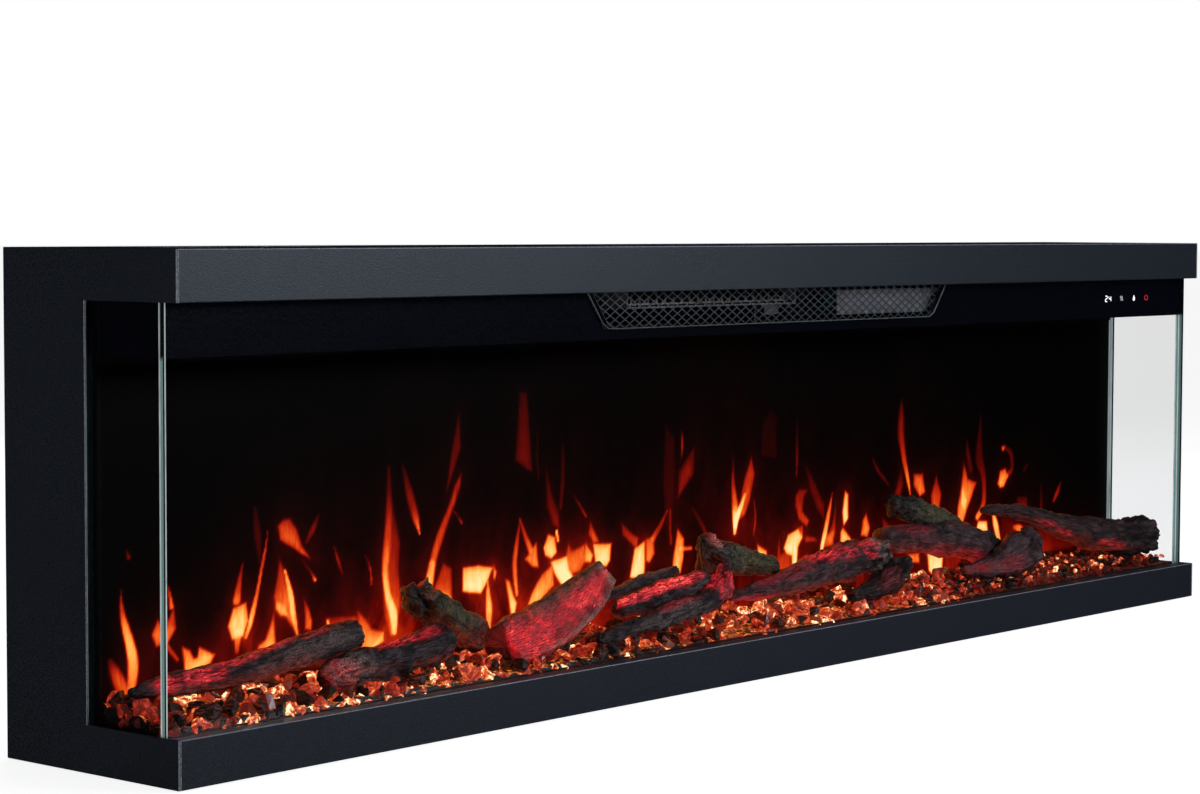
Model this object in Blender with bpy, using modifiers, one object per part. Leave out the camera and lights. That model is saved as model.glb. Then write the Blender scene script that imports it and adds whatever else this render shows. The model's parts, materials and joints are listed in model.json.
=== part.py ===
"""Three-sided electric fireplace, 1524 mm wide, as an assembly of its separate pieces.

Frame: metres, +Z up, X along the width, the front faces -Y, origin at the middle of the base.
From the front: ledge, front pane, ember bed with logs, flame screen, light box, back panel.
The heater, its blower and the electronics lie in the header, above the firebox ceiling.
"""
import math

import bmesh
import bpy
from mathutils import Vector

# ------------------------------------------------------------- driving dimensions, metres
WIDTH = 1.524
DEPTH = 0.205
HEIGHT = 0.404
HEADER = 0.040  # height of the header box
PLINTH = 0.038  # height of the plinth
COLUMN = 0.0985  # depth of the rear column, which holds the light box
REVEAL = 0.0154  # width of the ledge in front of the front pane
SHEET = 0.0015  # folded steel sheet
GLASS = 0.006
GAP = 0.0003  # clearance between pieces that touch

FRONT, BACK = -DEPTH / 2, DEPTH / 2
HALF = WIDTH / 2
HEADER_Z = HEIGHT - HEADER
INNER = HALF - SHEET - GAP  # half length of what fits between the side plates
BETWEEN_PANES = INNER - GLASS - 0.0004  # half length of what fits between the side panes
FLOOR_Z = SHEET + GAP
CEILING_Z = 0.326  # underside of the firebox ceiling
DECK_Z = CEILING_Z + SHEET + GAP  # what stands on the ceiling starts here
PANE_TOP = HEADER_Z + 0.008
REAR = DEPTH - SHEET - GAP  # depth from the front at which the back panel starts

# flame effect
FLICKER_DEPTH, FLICKER_Z = 0.152, 0.062
FLICKER_SHAFT_R = 0.003
REFLECTOR_R = 0.024
SCREEN_DEPTH = 0.1073
SCREEN_THICKNESS = 0.003

# heater
VENT_HALF_LOW, VENT_HALF_TOP = 0.250, 0.280  # half widths of the outlet in the front pane
VENT_LOW_Z = 0.332
BLOWER_DEPTH, BLOWER_Z = 0.108, 0.366
IMPELLER_R = 0.020
HEATER_X = (-0.203, 0.042)

# master switch, in the right side plate
SWITCH_DEPTH, SWITCH_Z = 0.165, 0.345
SWITCH_PIVOT_X = 0.7560
ROCKER_REST = math.radians(-12)

# name: colour, roughness, metallic
FINISHES = {
    "body_paint": ((0.022, 0.025, 0.032), 0.45, 0.0),
    "inner_paint": ((0.010, 0.010, 0.011), 0.70, 0.0),
    "galvanised": ((0.55, 0.57, 0.58), 0.42, 1.0),
    "clear_glass": ((0.72, 0.84, 0.82), 0.03, 0.0),
    "screen": ((0.05, 0.02, 0.015), 0.35, 0.0),
    "tray_acrylic": ((0.55, 0.30, 0.14), 0.40, 0.0),
    "embers": ((0.80, 0.24, 0.06), 0.35, 0.0),
    "charred_bark": ((0.075, 0.060, 0.062), 0.85, 0.0),
    "mossy_bark": ((0.090, 0.100, 0.075), 0.88, 0.0),
    "red_bark": ((0.230, 0.080, 0.065), 0.80, 0.0),
    "led_board": ((0.75, 0.76, 0.74), 0.50, 0.0),
    "circuit_board": ((0.03, 0.16, 0.08), 0.45, 0.0),
    "reflector": ((0.88, 0.88, 0.87), 0.18, 1.0),
    "shaft_steel": ((0.62, 0.62, 0.63), 0.30, 1.0),
    "nylon": ((0.80, 0.79, 0.74), 0.55, 0.0),
    "black_plastic": ((0.02, 0.02, 0.022), 0.50, 0.0),
    "motor_steel": ((0.30, 0.31, 0.33), 0.50, 1.0),
    "copper_winding": ((0.62, 0.26, 0.12), 0.40, 1.0),
    "heater_fins": ((0.24, 0.22, 0.21), 0.50, 1.0),
    "mesh_steel": ((0.06, 0.065, 0.075), 0.45, 0.6),
}


# ------------------------------------------------------------- scene and materials
def clear_scene():
    for old in list(bpy.data.objects):
        bpy.data.objects.remove(old, do_unlink=True)


def new_collection(name):
    made = bpy.data.collections.new(name)
    bpy.context.scene.collection.children.link(made)
    return made


def finish(name):
    """The Principled material of this name, made on its first use."""
    if name in bpy.data.materials:
        return bpy.data.materials[name]
    colour, roughness, metallic = FINISHES[name]
    made = bpy.data.materials.new(name)
    made.use_nodes = True
    shader = made.node_tree.nodes["Principled BSDF"]
    shader.inputs["Base Color"].default_value = (*colour, 1)
    shader.inputs["Roughness"].default_value = roughness
    shader.inputs["Metallic"].default_value = metallic
    made.diffuse_color = (*colour, 1)
    return made


def add(name, data, look, location=(0, 0, 0), rotation=(0, 0, 0)):
    """One named sub-part in the object's collection; without a look it is a cutter."""
    piece = bpy.data.objects.new(name, data)
    piece.location = location
    piece.rotation_euler = rotation
    if look:
        parts.objects.link(piece)
        data.materials.append(finish(look))
    else:
        cutters.objects.link(piece)
        piece.hide_render = True
        piece.display_type = "WIRE"
    return piece


# ------------------------------------------------------------- outlines, lists of (u, v)
def at(depth):
    """The Y of a point this far behind the front face."""
    return FRONT + depth


def rectangle(low_u, high_u, low_v, high_v):
    return [(low_u, low_v), (high_u, low_v), (high_u, high_v), (low_u, high_v)]


def circle(u, v, radius, steps=24):
    turns = [2 * math.pi * step / steps for step in range(steps)]
    return [(u + radius * math.cos(turn), v + radius * math.sin(turn)) for turn in turns]


def arc(u, v, radius, start, end, steps):
    """Points on an arc, its angles in degrees."""
    turns = [math.radians(start + (end - start) * step / steps) for step in range(steps + 1)]
    return [(u + radius * math.cos(turn), v + radius * math.sin(turn)) for turn in turns]


def slot(u, v, length, width, steps=4):
    """A slot along u with round ends."""
    reach = (length - width) / 2
    right = arc(u + reach, v, width / 2, -90, 90, steps)
    left = arc(u - reach, v, width / 2, 90, 270, steps)
    return right + left


def folded(path, thickness=SHEET):
    """The section of a sheet bent along a path, its thickness on the path's left."""
    points = [Vector(point) for point in path]
    normals = []
    for start, end in zip(points, points[1:]):
        along = (end - start).normalized()
        normals.append(Vector((-along.y, along.x)))
    ends = zip([normals[0], *normals], [*normals, normals[-1]])
    inside = []
    for point, (before, after) in zip(points, ends):
        inside.append(point + (before + after) * (thickness / (1 + before.dot(after))))
    return [tuple(point) for point in points + inside[::-1]]


def lobes(radius, core, half_width, count):
    """Radial arms of even width round a round core."""
    outline = []
    for number in range(count):
        middle = 2 * math.pi * number / count
        across = Vector((-math.sin(middle), math.cos(middle))) * half_width
        outwards = Vector((math.cos(middle), math.sin(middle)))
        for reach, side in ((core, -1), (radius, -1), (radius, 1), (core, 1)):
            outline.append(tuple(outwards * reach + across * side))
    return outline


# ------------------------------------------------------------- solids
TURN_TO = {"X": (math.pi / 2, 0, math.pi / 2), "Y": (math.pi / 2, 0, 0), "Z": (0, 0, 0)}


def plate(name, look, outline, low, high, normal, holes=(), origin=(0, 0, 0)):
    """A flat outline given depth from low to high along its normal.

    The outline is in (y, z) for normal X, (x, z) for normal Y and (x, y) for normal Z, counted
    from the origin, which becomes the piece's own origin across the normal.
    """
    data = bpy.data.curves.new(name, "CURVE")
    data.dimensions = "2D"
    data.fill_mode = "BOTH"
    data.extrude = (high - low) / 2
    for loop in (outline, *holes):
        spline = data.splines.new("POLY")
        spline.points.add(len(loop) - 1)
        spline.use_cyclic_u = True
        for point, (u, v) in zip(spline.points, loop):
            point.co = (u, v, 0, 1)
    place = list(origin)
    place["XYZ".index(normal)] = (low + high) / 2
    return add(name, data, look, place, TURN_TO[normal])


def block(name, look, xs, ys, zs):
    """A plain box between pairs of coordinates."""
    body = bmesh.new()
    bmesh.ops.create_cube(body, size=1)
    size = [high - low for low, high in (xs, ys, zs)]
    bmesh.ops.scale(body, vec=size, verts=body.verts)
    data = bpy.data.meshes.new(name)
    body.to_mesh(data)
    body.free()
    return add(name, data, look, [(low + high) / 2 for low, high in (xs, ys, zs)])


def turned(name, look, profile, place, axis, steps=24):
    """A profile of (radius, height), listed down its outer side, turned about an axis."""
    closed = profile[0][0] > 0
    count = len(profile)
    edges = [(number, number + 1) for number in range(count - 1)]
    data = bpy.data.meshes.new(name)
    data.from_pydata([(radius, 0, height) for radius, height in profile], edges, [])
    if closed:
        data.edges.add(1)
        data.edges[-1].vertices = (count - 1, 0)
    lean = {"X": (0, math.pi / 2, 0), "Y": (-math.pi / 2, 0, 0), "Z": (0, 0, 0)}[axis]
    piece = add(name, data, look, place, lean)
    screw = piece.modifiers.new("turn", "SCREW")
    screw.steps = screw.render_steps = steps
    screw.use_merge_vertices = True
    screw.merge_threshold = 0.00005
    screw.use_smooth_shade = True
    return piece


def rod(name, look, radius, low, high, place, axis="X", steps=24):
    """A round bar from low to high along its axis, counted from its place."""
    profile = [(0, high), (radius, high), (radius, low), (0, low)]
    return turned(name, look, profile, place, axis, steps)


def ring(name, look, outer, inner, low, high, place, axis="X", steps=24):
    profile = [(outer, high), (outer, low), (inner, low), (inner, high)]
    return turned(name, look, profile, place, axis, steps)


def tapered_bar(name, look, route):
    """A round bar through (x, depth, z, radius) points, eight-sided."""
    data = bpy.data.curves.new(name, "CURVE")
    data.dimensions = "3D"
    data.bevel_depth = 0.001
    data.bevel_resolution = 2
    data.use_fill_caps = True
    spline = data.splines.new("POLY")
    spline.points.add(len(route) - 1)
    for point, (x, depth, z, radius) in zip(spline.points, route):
        point.co = (x, at(depth), z, 1)
        point.radius = radius * 1000
    return add(name, data, look)


def as_mesh(piece):
    """The same piece as a welded mesh, which a Boolean can take."""
    bpy.context.view_layer.update()
    graph = bpy.context.evaluated_depsgraph_get()
    name = piece.name
    data = bpy.data.meshes.new_from_object(piece.evaluated_get(graph))
    body = bmesh.new()
    body.from_mesh(data)
    bmesh.ops.remove_doubles(body, verts=body.verts, dist=0.00001)
    bmesh.ops.recalc_face_normals(body, faces=body.faces)
    body.to_mesh(data)
    body.free()
    made = bpy.data.objects.new(name + "_mesh", data)
    made.matrix_world = piece.matrix_world
    for collection in piece.users_collection:
        collection.objects.link(made)
    made.hide_render = piece.hide_render
    made.display_type = piece.display_type
    bpy.data.objects.remove(piece, do_unlink=True)
    made.name = name
    return made


def boolean(piece, other, operation="DIFFERENCE", solver="EXACT"):
    modifier = piece.modifiers.new(other.name, "BOOLEAN")
    modifier.operation = operation
    modifier.solver = solver
    modifier.object = other


# ------------------------------------------------------------- casing
def side_plate(side, name):
    """The C-shaped end plate: header, rear column and plinth in one flat sheet."""
    column = at(DEPTH - COLUMN)
    outline = [
        (FRONT, 0), (BACK, 0), (BACK, HEIGHT), (FRONT, HEIGHT),
        (FRONT, HEADER_Z), (column, HEADER_Z), (column, PLINTH), (FRONT, PLINTH),
    ]
    faces = sorted((side * (HALF - SHEET), side * HALF))
    middle = at(SWITCH_DEPTH)
    window = rectangle(middle - 0.0052, middle + 0.0052, SWITCH_Z - 0.0077, SWITCH_Z + 0.0077)
    plate(name, "body_paint", outline, *faces, "X", [window] if side > 0 else [])


def casing():
    side_plate(-1, "left_side_plate")
    side_plate(1, "right_side_plate")

    ledge = REVEAL - 0.0004
    tray = folded([
        (at(ledge), 0.028), (at(ledge), PLINTH), (FRONT, PLINTH), (FRONT, 0), (at(REAR), 0),
    ])
    plate("base_tray", "body_paint", tray, -INNER, INNER, "X")

    lip = folded([
        (at(0.020), HEIGHT), (FRONT, HEIGHT), (FRONT, HEADER_Z), (at(0.0146), HEADER_Z),
    ])
    plate("header_fascia", "body_paint", lip, -INNER, INNER, "X")

    top = rectangle(-INNER, INNER, at(0.020 + GAP), at(REAR))
    louvres = [
        slot(0.105 * column, at(depth), 0.080, 0.005)
        for column in (-6, -5, -1, 0, 1, 5, 6) for depth in (0.120, 0.134, 0.148)
    ]
    plate("top_panel", "body_paint", top, HEIGHT - SHEET, HEIGHT, "Z", louvres)

    back = rectangle(-INNER, INNER, 0, HEIGHT)
    vents = [
        slot(0.110 * column, height, 0.080, 0.006)
        for column in (-5, -4, 4, 5) for height in (0.250, 0.264, 0.278)
    ]
    vents += [slot(0.110 * column, 0.366, 0.080, 0.006) for column in (-2, -1, 0, 1, 2)]
    fixings = [
        circle(x, z, 0.0025, 12) for x in (-0.700, -0.250, 0.250, 0.700) for z in (0.060, 0.386)
    ]
    holes = vents + fixings + [circle(GLAND_X, GLAND_Z, 0.0063)]
    plate("back_panel", "body_paint", back, at(DEPTH - SHEET), BACK, "Y", holes)

    deck = rectangle(-BETWEEN_PANES, BETWEEN_PANES, at(0.022), at(REAR))
    plate("firebox_ceiling", "inner_paint", deck, CEILING_Z, CEILING_Z + SHEET, "Z")


# ------------------------------------------------------------- glazing
def glazing():
    """The front pane has a notch in its upper edge, which is the warm air outlet."""
    slope = (VENT_HALF_TOP - VENT_HALF_LOW) / (PANE_TOP - VENT_LOW_Z)
    corner = 0.006
    inset = corner * 0.7
    notch = []
    for side in (1, -1):
        bend = [
            (side * (VENT_HALF_LOW + slope * inset), VENT_LOW_Z + inset),
            (side * (VENT_HALF_LOW - 0.001), VENT_LOW_Z + 0.0018),
            (side * (VENT_HALF_LOW - inset), VENT_LOW_Z),
        ]
        notch += bend if side > 0 else bend[::-1]
    outline = [(-INNER, 0.0288), (INNER, 0.0288), (INNER, PANE_TOP), (VENT_HALF_TOP, PANE_TOP)]
    outline += notch + [(-VENT_HALF_TOP, PANE_TOP), (-INNER, PANE_TOP)]
    plate("front_glass", "clear_glass", outline, at(REVEAL), at(REVEAL + GLASS), "Y")

    pane = rectangle(at(REVEAL + GLASS + GAP), at(0.1145), FLOOR_Z, PANE_TOP)
    plate("left_glass", "clear_glass", pane, -INNER, -INNER + GLASS, "X")
    plate("right_glass", "clear_glass", pane, INNER - GLASS, INNER, "X")

    rest = folded([(at(0.0235), FLOOR_Z), (at(0.0235), 0.0265), (at(REVEAL), 0.0265)])
    plate("glass_rest", "inner_paint", rest, -BETWEEN_PANES, BETWEEN_PANES, "X")

    clip = folded([(at(0.0234), 0.345), (at(0.0234), 0.374), (at(0.0156), 0.374)])
    for name, x in (("glass_clip_left", -0.55), ("glass_clip_right", 0.53)):
        plate(name, "galvanised", clip, x - 0.015, x + 0.015, "X")


# ------------------------------------------------------------- flame screen and light box
def led_strip(name, length, depth, floor_z, leds):
    """A narrow board with a row of square light emitters, on the base."""
    pitch = length / leds
    low, mid, high = floor_z, floor_z + 0.0014, floor_z + 0.0026
    top = []
    for number in range(leds):
        middle = length / 2 - pitch * (number + 0.5)
        top += [(middle + 0.0025, mid), (middle + 0.0025, high)]
        top += [(middle - 0.0025, high), (middle - 0.0025, mid)]
    outline = [(-length / 2, low), (length / 2, low), (length / 2, mid), *top, (-length / 2, mid)]
    plate(name, "led_board", outline, at(depth - 0.005), at(depth + 0.005), "Y")


def flame_hole(x, foot_z, height, width, lean):
    """One tongue of flame cut out of the pattern plate."""
    right = [(0.50, 0.00), (0.46, 0.28), (0.24, 0.62)]
    left = [(-0.20, 0.66), (-0.48, 0.30), (-0.50, 0.00)]
    shape = right + [(0.05, 1.00)] + left
    return [(x + width * u + lean * v * v, foot_z + height * v) for u, v in shape]


def flame_effect():
    front, rear = at(SCREEN_DEPTH), at(SCREEN_DEPTH + SCREEN_THICKNESS)
    outline = rectangle(-BETWEEN_PANES, BETWEEN_PANES, 0.0216, 0.3241)
    plate("flame_screen", "screen", outline, front, rear, "Y")

    wall, side = 0.0012, 0.0004
    outer = (front - side - wall, rear + side + wall)
    inner = (front - side, rear + side)
    low = [
        (outer[0], 0.020), (inner[1], 0.020), (inner[1], FLOOR_Z), (outer[1], FLOOR_Z),
        (outer[1], 0.036), (inner[1], 0.036), (inner[1], 0.0212), (inner[0], 0.0212),
        (inner[0], 0.036), (outer[0], 0.036),
    ]
    plate("screen_channel_bottom", "inner_paint", low, -BETWEEN_PANES, BETWEEN_PANES, "X")
    high = [
        (outer[0], 0.3137), (inner[0], 0.3137), (inner[0], 0.3245), (inner[1], 0.3245),
        (inner[1], 0.3137), (outer[1], 0.3137), (outer[1], 0.3257), (outer[0], 0.3257),
    ]
    plate("screen_channel_top", "inner_paint", high, -BETWEEN_PANES, BETWEEN_PANES, "X")

    tongues = []
    for number in range(14):
        x = -0.650 + 0.100 * number
        height = 0.105 + 0.045 * math.sin(2.3 * number)
        lean = 0.014 * math.sin(1.7 * number + 0.6)
        tongues.append(flame_hole(x, 0.060, height, 0.042, lean))
    mask = rectangle(-0.745, 0.745, FLOOR_Z, 0.300)
    plate("flame_pattern_plate", "reflector", mask, at(0.1235), at(0.1243), "Y", tongues)
    led_strip("flame_light_strip", 1.400, 0.190, FLOOR_Z, 20)


def flicker_drive():
    """The turning rod behind the pattern plate, whose blades throw moving light on it."""
    place = (0, at(FLICKER_DEPTH), FLICKER_Z)
    rod("flicker_shaft", "shaft_steel", FLICKER_SHAFT_R, -0.728, 0.690, place)
    hub_hole = circle(0, 0, FLICKER_SHAFT_R + GAP)
    for name, low, high in (
        ("flicker_reflector_left", -0.700, -0.016), ("flicker_reflector_right", 0.016, 0.666),
    ):
        star = lobes(REFLECTOR_R, 0.0048, 0.0006, 5)
        vanes = plate(name, "reflector", star, low, high, "X", [hub_hole], place)
        vanes = as_mesh(vanes)
        bays = 10
        pitch = (high - low) / bays
        for number in range(1, bays):
            middle = low + pitch * number
            span = (middle - 0.006 - low, middle + 0.006 - low)
            notch = ring(
                f"{name}_notch_{number}", None, 0.030, 0.010, *span, (low, *place[1:]), steps=12
            )
            boolean(vanes, notch)

    post = [
        (at(0.130), FLOOR_Z), (at(0.174), FLOOR_Z), (at(0.174), FLOOR_Z + 0.003),
        (at(0.160), FLOOR_Z + 0.003), *arc(*place[1:], 0.008, 0, 180, 8),
        (at(0.144), FLOOR_Z + 0.003), (at(0.130), FLOOR_Z + 0.003),
    ]
    bearing_hole = circle(*place[1:], FLICKER_SHAFT_R + 0.0002)
    for name, x in (("left", -0.716), ("middle", 0.0)):
        plate(f"flicker_bearing_{name}", "nylon", post, x - 0.004, x + 0.004, "X", [bearing_hole])

    mount = rectangle(at(0.126), at(0.178), FLOOR_Z, 0.090)
    boss_hole = circle(at(FLICKER_DEPTH), FLICKER_Z, 0.0075)
    plate("flicker_motor_bracket", "galvanised", mount, 0.7100, 0.7116, "X", [boss_hole])
    can = [
        (0, 0.018), (0.022, 0.018), (0.022, 0), (0.0065, 0), (0.0065, -0.006),
        (0.0032, -0.006), (0.0032, 0.004), (0, 0.004),
    ]
    turned("flicker_motor", "motor_steel", can, (0.7120, *place[1:]), "X", 32)
    ring("flicker_coupling", "nylon", 0.006, FLICKER_SHAFT_R + GAP, 0.676, 0.702, place)


# ------------------------------------------------------------- ember bed and logs
def ember_bed():
    front, rear = at(0.024), at(0.1053)
    wall = 0.002
    section = [
        (front, FLOOR_Z), (front + wall, FLOOR_Z), (front + wall, 0.024), (rear - wall, 0.024),
        (rear - wall, FLOOR_Z), (rear, FLOOR_Z), (rear, 0.0375), (rear - wall, 0.0375),
        (rear - wall, 0.026), (front + wall, 0.026), (front + wall, 0.0375), (front, 0.0375),
    ]
    plate("ember_tray", "tray_acrylic", section, -BETWEEN_PANES, BETWEEN_PANES, "X")
    media = [
        (at(0.0265), 0.0263), (at(0.1028), 0.0263), (at(0.1028), 0.050),
        (at(0.080), 0.0465), (at(0.050), 0.0425), (at(0.0265), 0.0400),
    ]
    plate("ember_bed", "embers", media, -0.7505, 0.7505, "X")
    led_strip("ember_light_strip", 1.450, 0.064, FLOOR_Z, 20)


# name: finish, then (x, depth behind the front, z, radius) along the log
LOGS = {
    "log_long_left": ("charred_bark", [
        (-0.738, 0.080, 0.0635, 0.004), (-0.698, 0.078, 0.0655, 0.010),
        (-0.632, 0.075, 0.068, 0.0115), (-0.571, 0.071, 0.077, 0.013),
        (-0.511, 0.067, 0.086, 0.013),
    ]),
    "log_knobby": ("charred_bark", [
        (-0.558, 0.050, 0.0575, 0.009), (-0.545, 0.050, 0.058, 0.0135),
        (-0.478, 0.047, 0.067, 0.0135), (-0.436, 0.046, 0.073, 0.0115),
    ]),
    "log_stump": ("mossy_bark", [
        (-0.428, 0.086, 0.112, 0.007), (-0.418, 0.084, 0.099, 0.0155),
        (-0.388, 0.078, 0.083, 0.017), (-0.363, 0.072, 0.0655, 0.014),
    ]),
    "log_split_red": ("red_bark", [
        (-0.353, 0.047, 0.0575, 0.0125), (-0.286, 0.054, 0.0705, 0.020),
        (-0.228, 0.064, 0.0905, 0.0205), (-0.188, 0.072, 0.106, 0.010),
    ]),
    "log_centre": ("charred_bark", [
        (-0.182, 0.062, 0.073, 0.009), (-0.140, 0.061, 0.078, 0.0125),
        (-0.066, 0.060, 0.087, 0.010),
    ]),
    "log_forked": ("charred_bark", [
        (-0.250, 0.033, 0.052, 0.006), (-0.178, 0.037, 0.059, 0.0075),
        (-0.092, 0.039, 0.069, 0.0082), (-0.056, 0.043, 0.085, 0.008),
        (-0.047, 0.047, 0.095, 0.0055),
    ]),
    "log_mossy_knob": ("mossy_bark", [
        (-0.024, 0.088, 0.124, 0.0055), (-0.016, 0.086, 0.107, 0.0125),
        (0.022, 0.082, 0.097, 0.0135), (0.062, 0.079, 0.089, 0.0105),
    ]),
    "log_grey_long": ("charred_bark", [
        (-0.026, 0.052, 0.071, 0.0045), (0.050, 0.055, 0.0745, 0.0115),
        (0.140, 0.062, 0.0845, 0.0195), (0.230, 0.069, 0.090, 0.0100),
    ]),
    "log_grey_right": ("charred_bark", [
        (0.250, 0.087, 0.105, 0.0095), (0.327, 0.084, 0.0945, 0.0115),
        (0.397, 0.078, 0.0925, 0.012), (0.452, 0.075, 0.0785, 0.0085),
    ]),
    "log_mossy_right": ("mossy_bark", [
        (0.296, 0.091, 0.1325, 0.0070), (0.318, 0.091, 0.1265, 0.0105),
        (0.361, 0.091, 0.121, 0.0100), (0.396, 0.090, 0.1175, 0.0080),
    ]),
    "log_wedge": ("mossy_bark", [
        (0.362, 0.046, 0.064, 0.004), (0.413, 0.047, 0.061, 0.0095),
        (0.464, 0.049, 0.070, 0.0135), (0.506, 0.050, 0.085, 0.0065),
    ]),
    "log_long_right": ("charred_bark", [
        (0.459, 0.086, 0.117, 0.0032), (0.518, 0.079, 0.110, 0.0065),
        (0.585, 0.068, 0.091, 0.010), (0.655, 0.053, 0.073, 0.015),
        (0.729, 0.044, 0.068, 0.017),
    ]),
}


def logs():
    for name, (look, route) in LOGS.items():
        tapered_bar(name, look, route)


# ------------------------------------------------------------- heater in the header
def heater():
    top_half = VENT_HALF_TOP + 0.010
    low_half = VENT_HALF_LOW + 0.010
    low_z, top_z = DECK_Z, 0.3715
    outline = [(-low_half, low_z), (low_half, low_z), (top_half, top_z), (-top_half, top_z)]
    pitch_x, pitch_z = 0.022, 0.013
    cells = []
    for row in range(5):
        z = 0.3365 + pitch_z / 2 * row
        count = 23 - row % 2
        for number in range(count):
            x = (number - (count - 1) / 2) * pitch_x
            cells.append([(x - 0.0095, z), (x, z - 0.0052), (x + 0.0095, z), (x, z + 0.0052)])
    plate("vent_grille", "mesh_steel", outline, at(0.0218), at(0.0228), "Y", cells)

    low_x, high_x = HEATER_X[0] - 0.003, HEATER_X[1] + 0.003
    wall = 0.0012
    duct = rectangle(low_x, high_x, 0.3480, 0.3895)
    hollow = rectangle(low_x + wall, high_x - wall, 0.3480 + wall, 0.3895 - wall)
    plate("heater_duct", "galvanised", duct, at(0.034), at(0.0835), "Y", [hollow])

    fins = []
    pitch = (HEATER_X[1] - HEATER_X[0] - 0.006) / 20
    for number in range(20):
        x = HEATER_X[0] + 0.003 + pitch * number
        for low, high in ((0.3520, 0.3660), (0.3695, 0.3835)):
            fins.append(rectangle(x + 0.0012, x + pitch - 0.0012, low, high))
    core = rectangle(*HEATER_X, 0.3505, 0.3850)
    plate("heating_element", "heater_fins", core, at(0.044), at(0.060), "Y", fins)

    button = [(0, 0.007), (0.004, 0.007), (0.004, 0.005), (0.0085, 0.005), (0.0085, 0), (0, 0)]
    turned("thermal_cutout", "black_plastic", button, (-0.080, at(0.070), 0.3898), "Z")


def blower():
    """The cross-flow fan behind the heating element, with its shaded-pole motor."""
    place = (0, at(BLOWER_DEPTH), BLOWER_Z)
    low_x, high_x = HEATER_X[0] + 0.002, HEATER_X[1] - 0.002

    drum = ring("blower_impeller", "black_plastic", IMPELLER_R, 0.0028, low_x, high_x, place)
    drum = as_mesh(drum)
    vanes = 14
    gap_half = 0.7 * math.pi * 0.017 / vanes
    star = lobes(IMPELLER_R + 0.003, 0.0165, gap_half, vanes)
    middle = (low_x + high_x) / 2
    bays = ((low_x + 0.002, middle - 0.001), (middle + 0.001, high_x - 0.002))
    for number, bay in enumerate(bays):
        bay_cut = as_mesh(plate(f"impeller_bay_{number}", None, star, *bay, "X", (), place))
        boolean(drum, bay_cut, solver="MANIFOLD")  # EXACT leaves open edges here

    rod("blower_shaft", "shaft_steel", 0.0025, -0.2125, 0.0900, place)
    ring("blower_rotor", "motor_steel", 0.0104, 0.0028, 0.0605, 0.0815, place)

    scroll_r = IMPELLER_R + 0.006
    depth, z = at(BLOWER_DEPTH), BLOWER_Z
    route = [(at(0.0840), 0.3895), *arc(depth, z, scroll_r, 92, -58, 12)]
    casing_sheet = folded(route[::-1], 0.001)
    plate("blower_scroll", "galvanised", casing_sheet, low_x - 0.003, high_x + 0.003, "X")

    cheek = rectangle(at(0.0845), at(0.137), DECK_Z, 0.3945)
    bearing_hole = circle(depth, z, 0.0027)
    for name, x in (("left", HEATER_X[0] - 0.0065), ("right", HEATER_X[1] + 0.0035)):
        plate(f"blower_bearing_{name}", "nylon", cheek, x, x + 0.003, "X", [bearing_hole])

    lamination = rectangle(depth - 0.025, depth + 0.025, z - 0.030, z + 0.026)
    windows = [circle(depth, z, 0.0108), rectangle(depth - 0.015, depth + 0.015, z - 0.024, z - 0.016)]
    core = plate("blower_stator", "motor_steel", lamination, 0.060, 0.082, "X", windows)
    core.data.materials[0] = finish("motor_steel")
    limb = rectangle(depth - 0.014, depth + 0.014, z - 0.0235, z - 0.0165)
    plate("blower_coil", "copper_winding", limb, 0.052, 0.090, "X")


# ------------------------------------------------------------- electrical pieces
GLAND_X, GLAND_Z = 0.640, 0.045


def electrics():
    box = folded([(at(0.030), 0.360), (at(0.030), 0.336), (at(0.095), 0.336), (at(0.095), 0.360)])
    plate("control_box", "galvanised", box, 0.107, 0.316, "X")

    board = block("control_board", "circuit_board", (0.111, 0.312), (at(0.034), at(0.091)),
                  (0.3420, 0.3436))
    for number, (x, depth, size, height) in enumerate((
        (0.135, 0.052, 0.018, 0.014), (0.165, 0.052, 0.018, 0.014), (0.210, 0.070, 0.012, 0.012),
        (0.245, 0.060, 0.026, 0.010), (0.290, 0.064, 0.014, 0.015),
    )):
        half = size / 2
        chip = block(f"board_component_{number}", None, (x - half, x + half),
                     (at(depth) - half, at(depth) + half), (0.3430, 0.3436 + height))
        boolean(board, chip, "UNION")

    supply = block("power_supply", "black_plastic", (-0.600, -0.440), (at(0.052), at(0.098)),
                   (DECK_Z, DECK_Z + 0.028))
    edge = supply.modifiers.new("rounded", "BEVEL")
    edge.width = 0.002
    edge.segments = 2

    block("touch_board", "circuit_board", (0.575, 0.690), (at(0.0218), at(0.0234)), (0.330, 0.356))

    flange, tube, bore = 0.009, 0.006, 0.004
    gland = [
        (tube, 0.0018), (tube, 0), (flange, 0), (flange, -0.004), (tube, -0.004),
        (tube, -0.016), (bore, -0.016), (bore, 0.0018),
    ]
    turned("cord_gland", "black_plastic", gland, (GLAND_X, at(REAR - GAP / 2), GLAND_Z), "Y")


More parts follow.
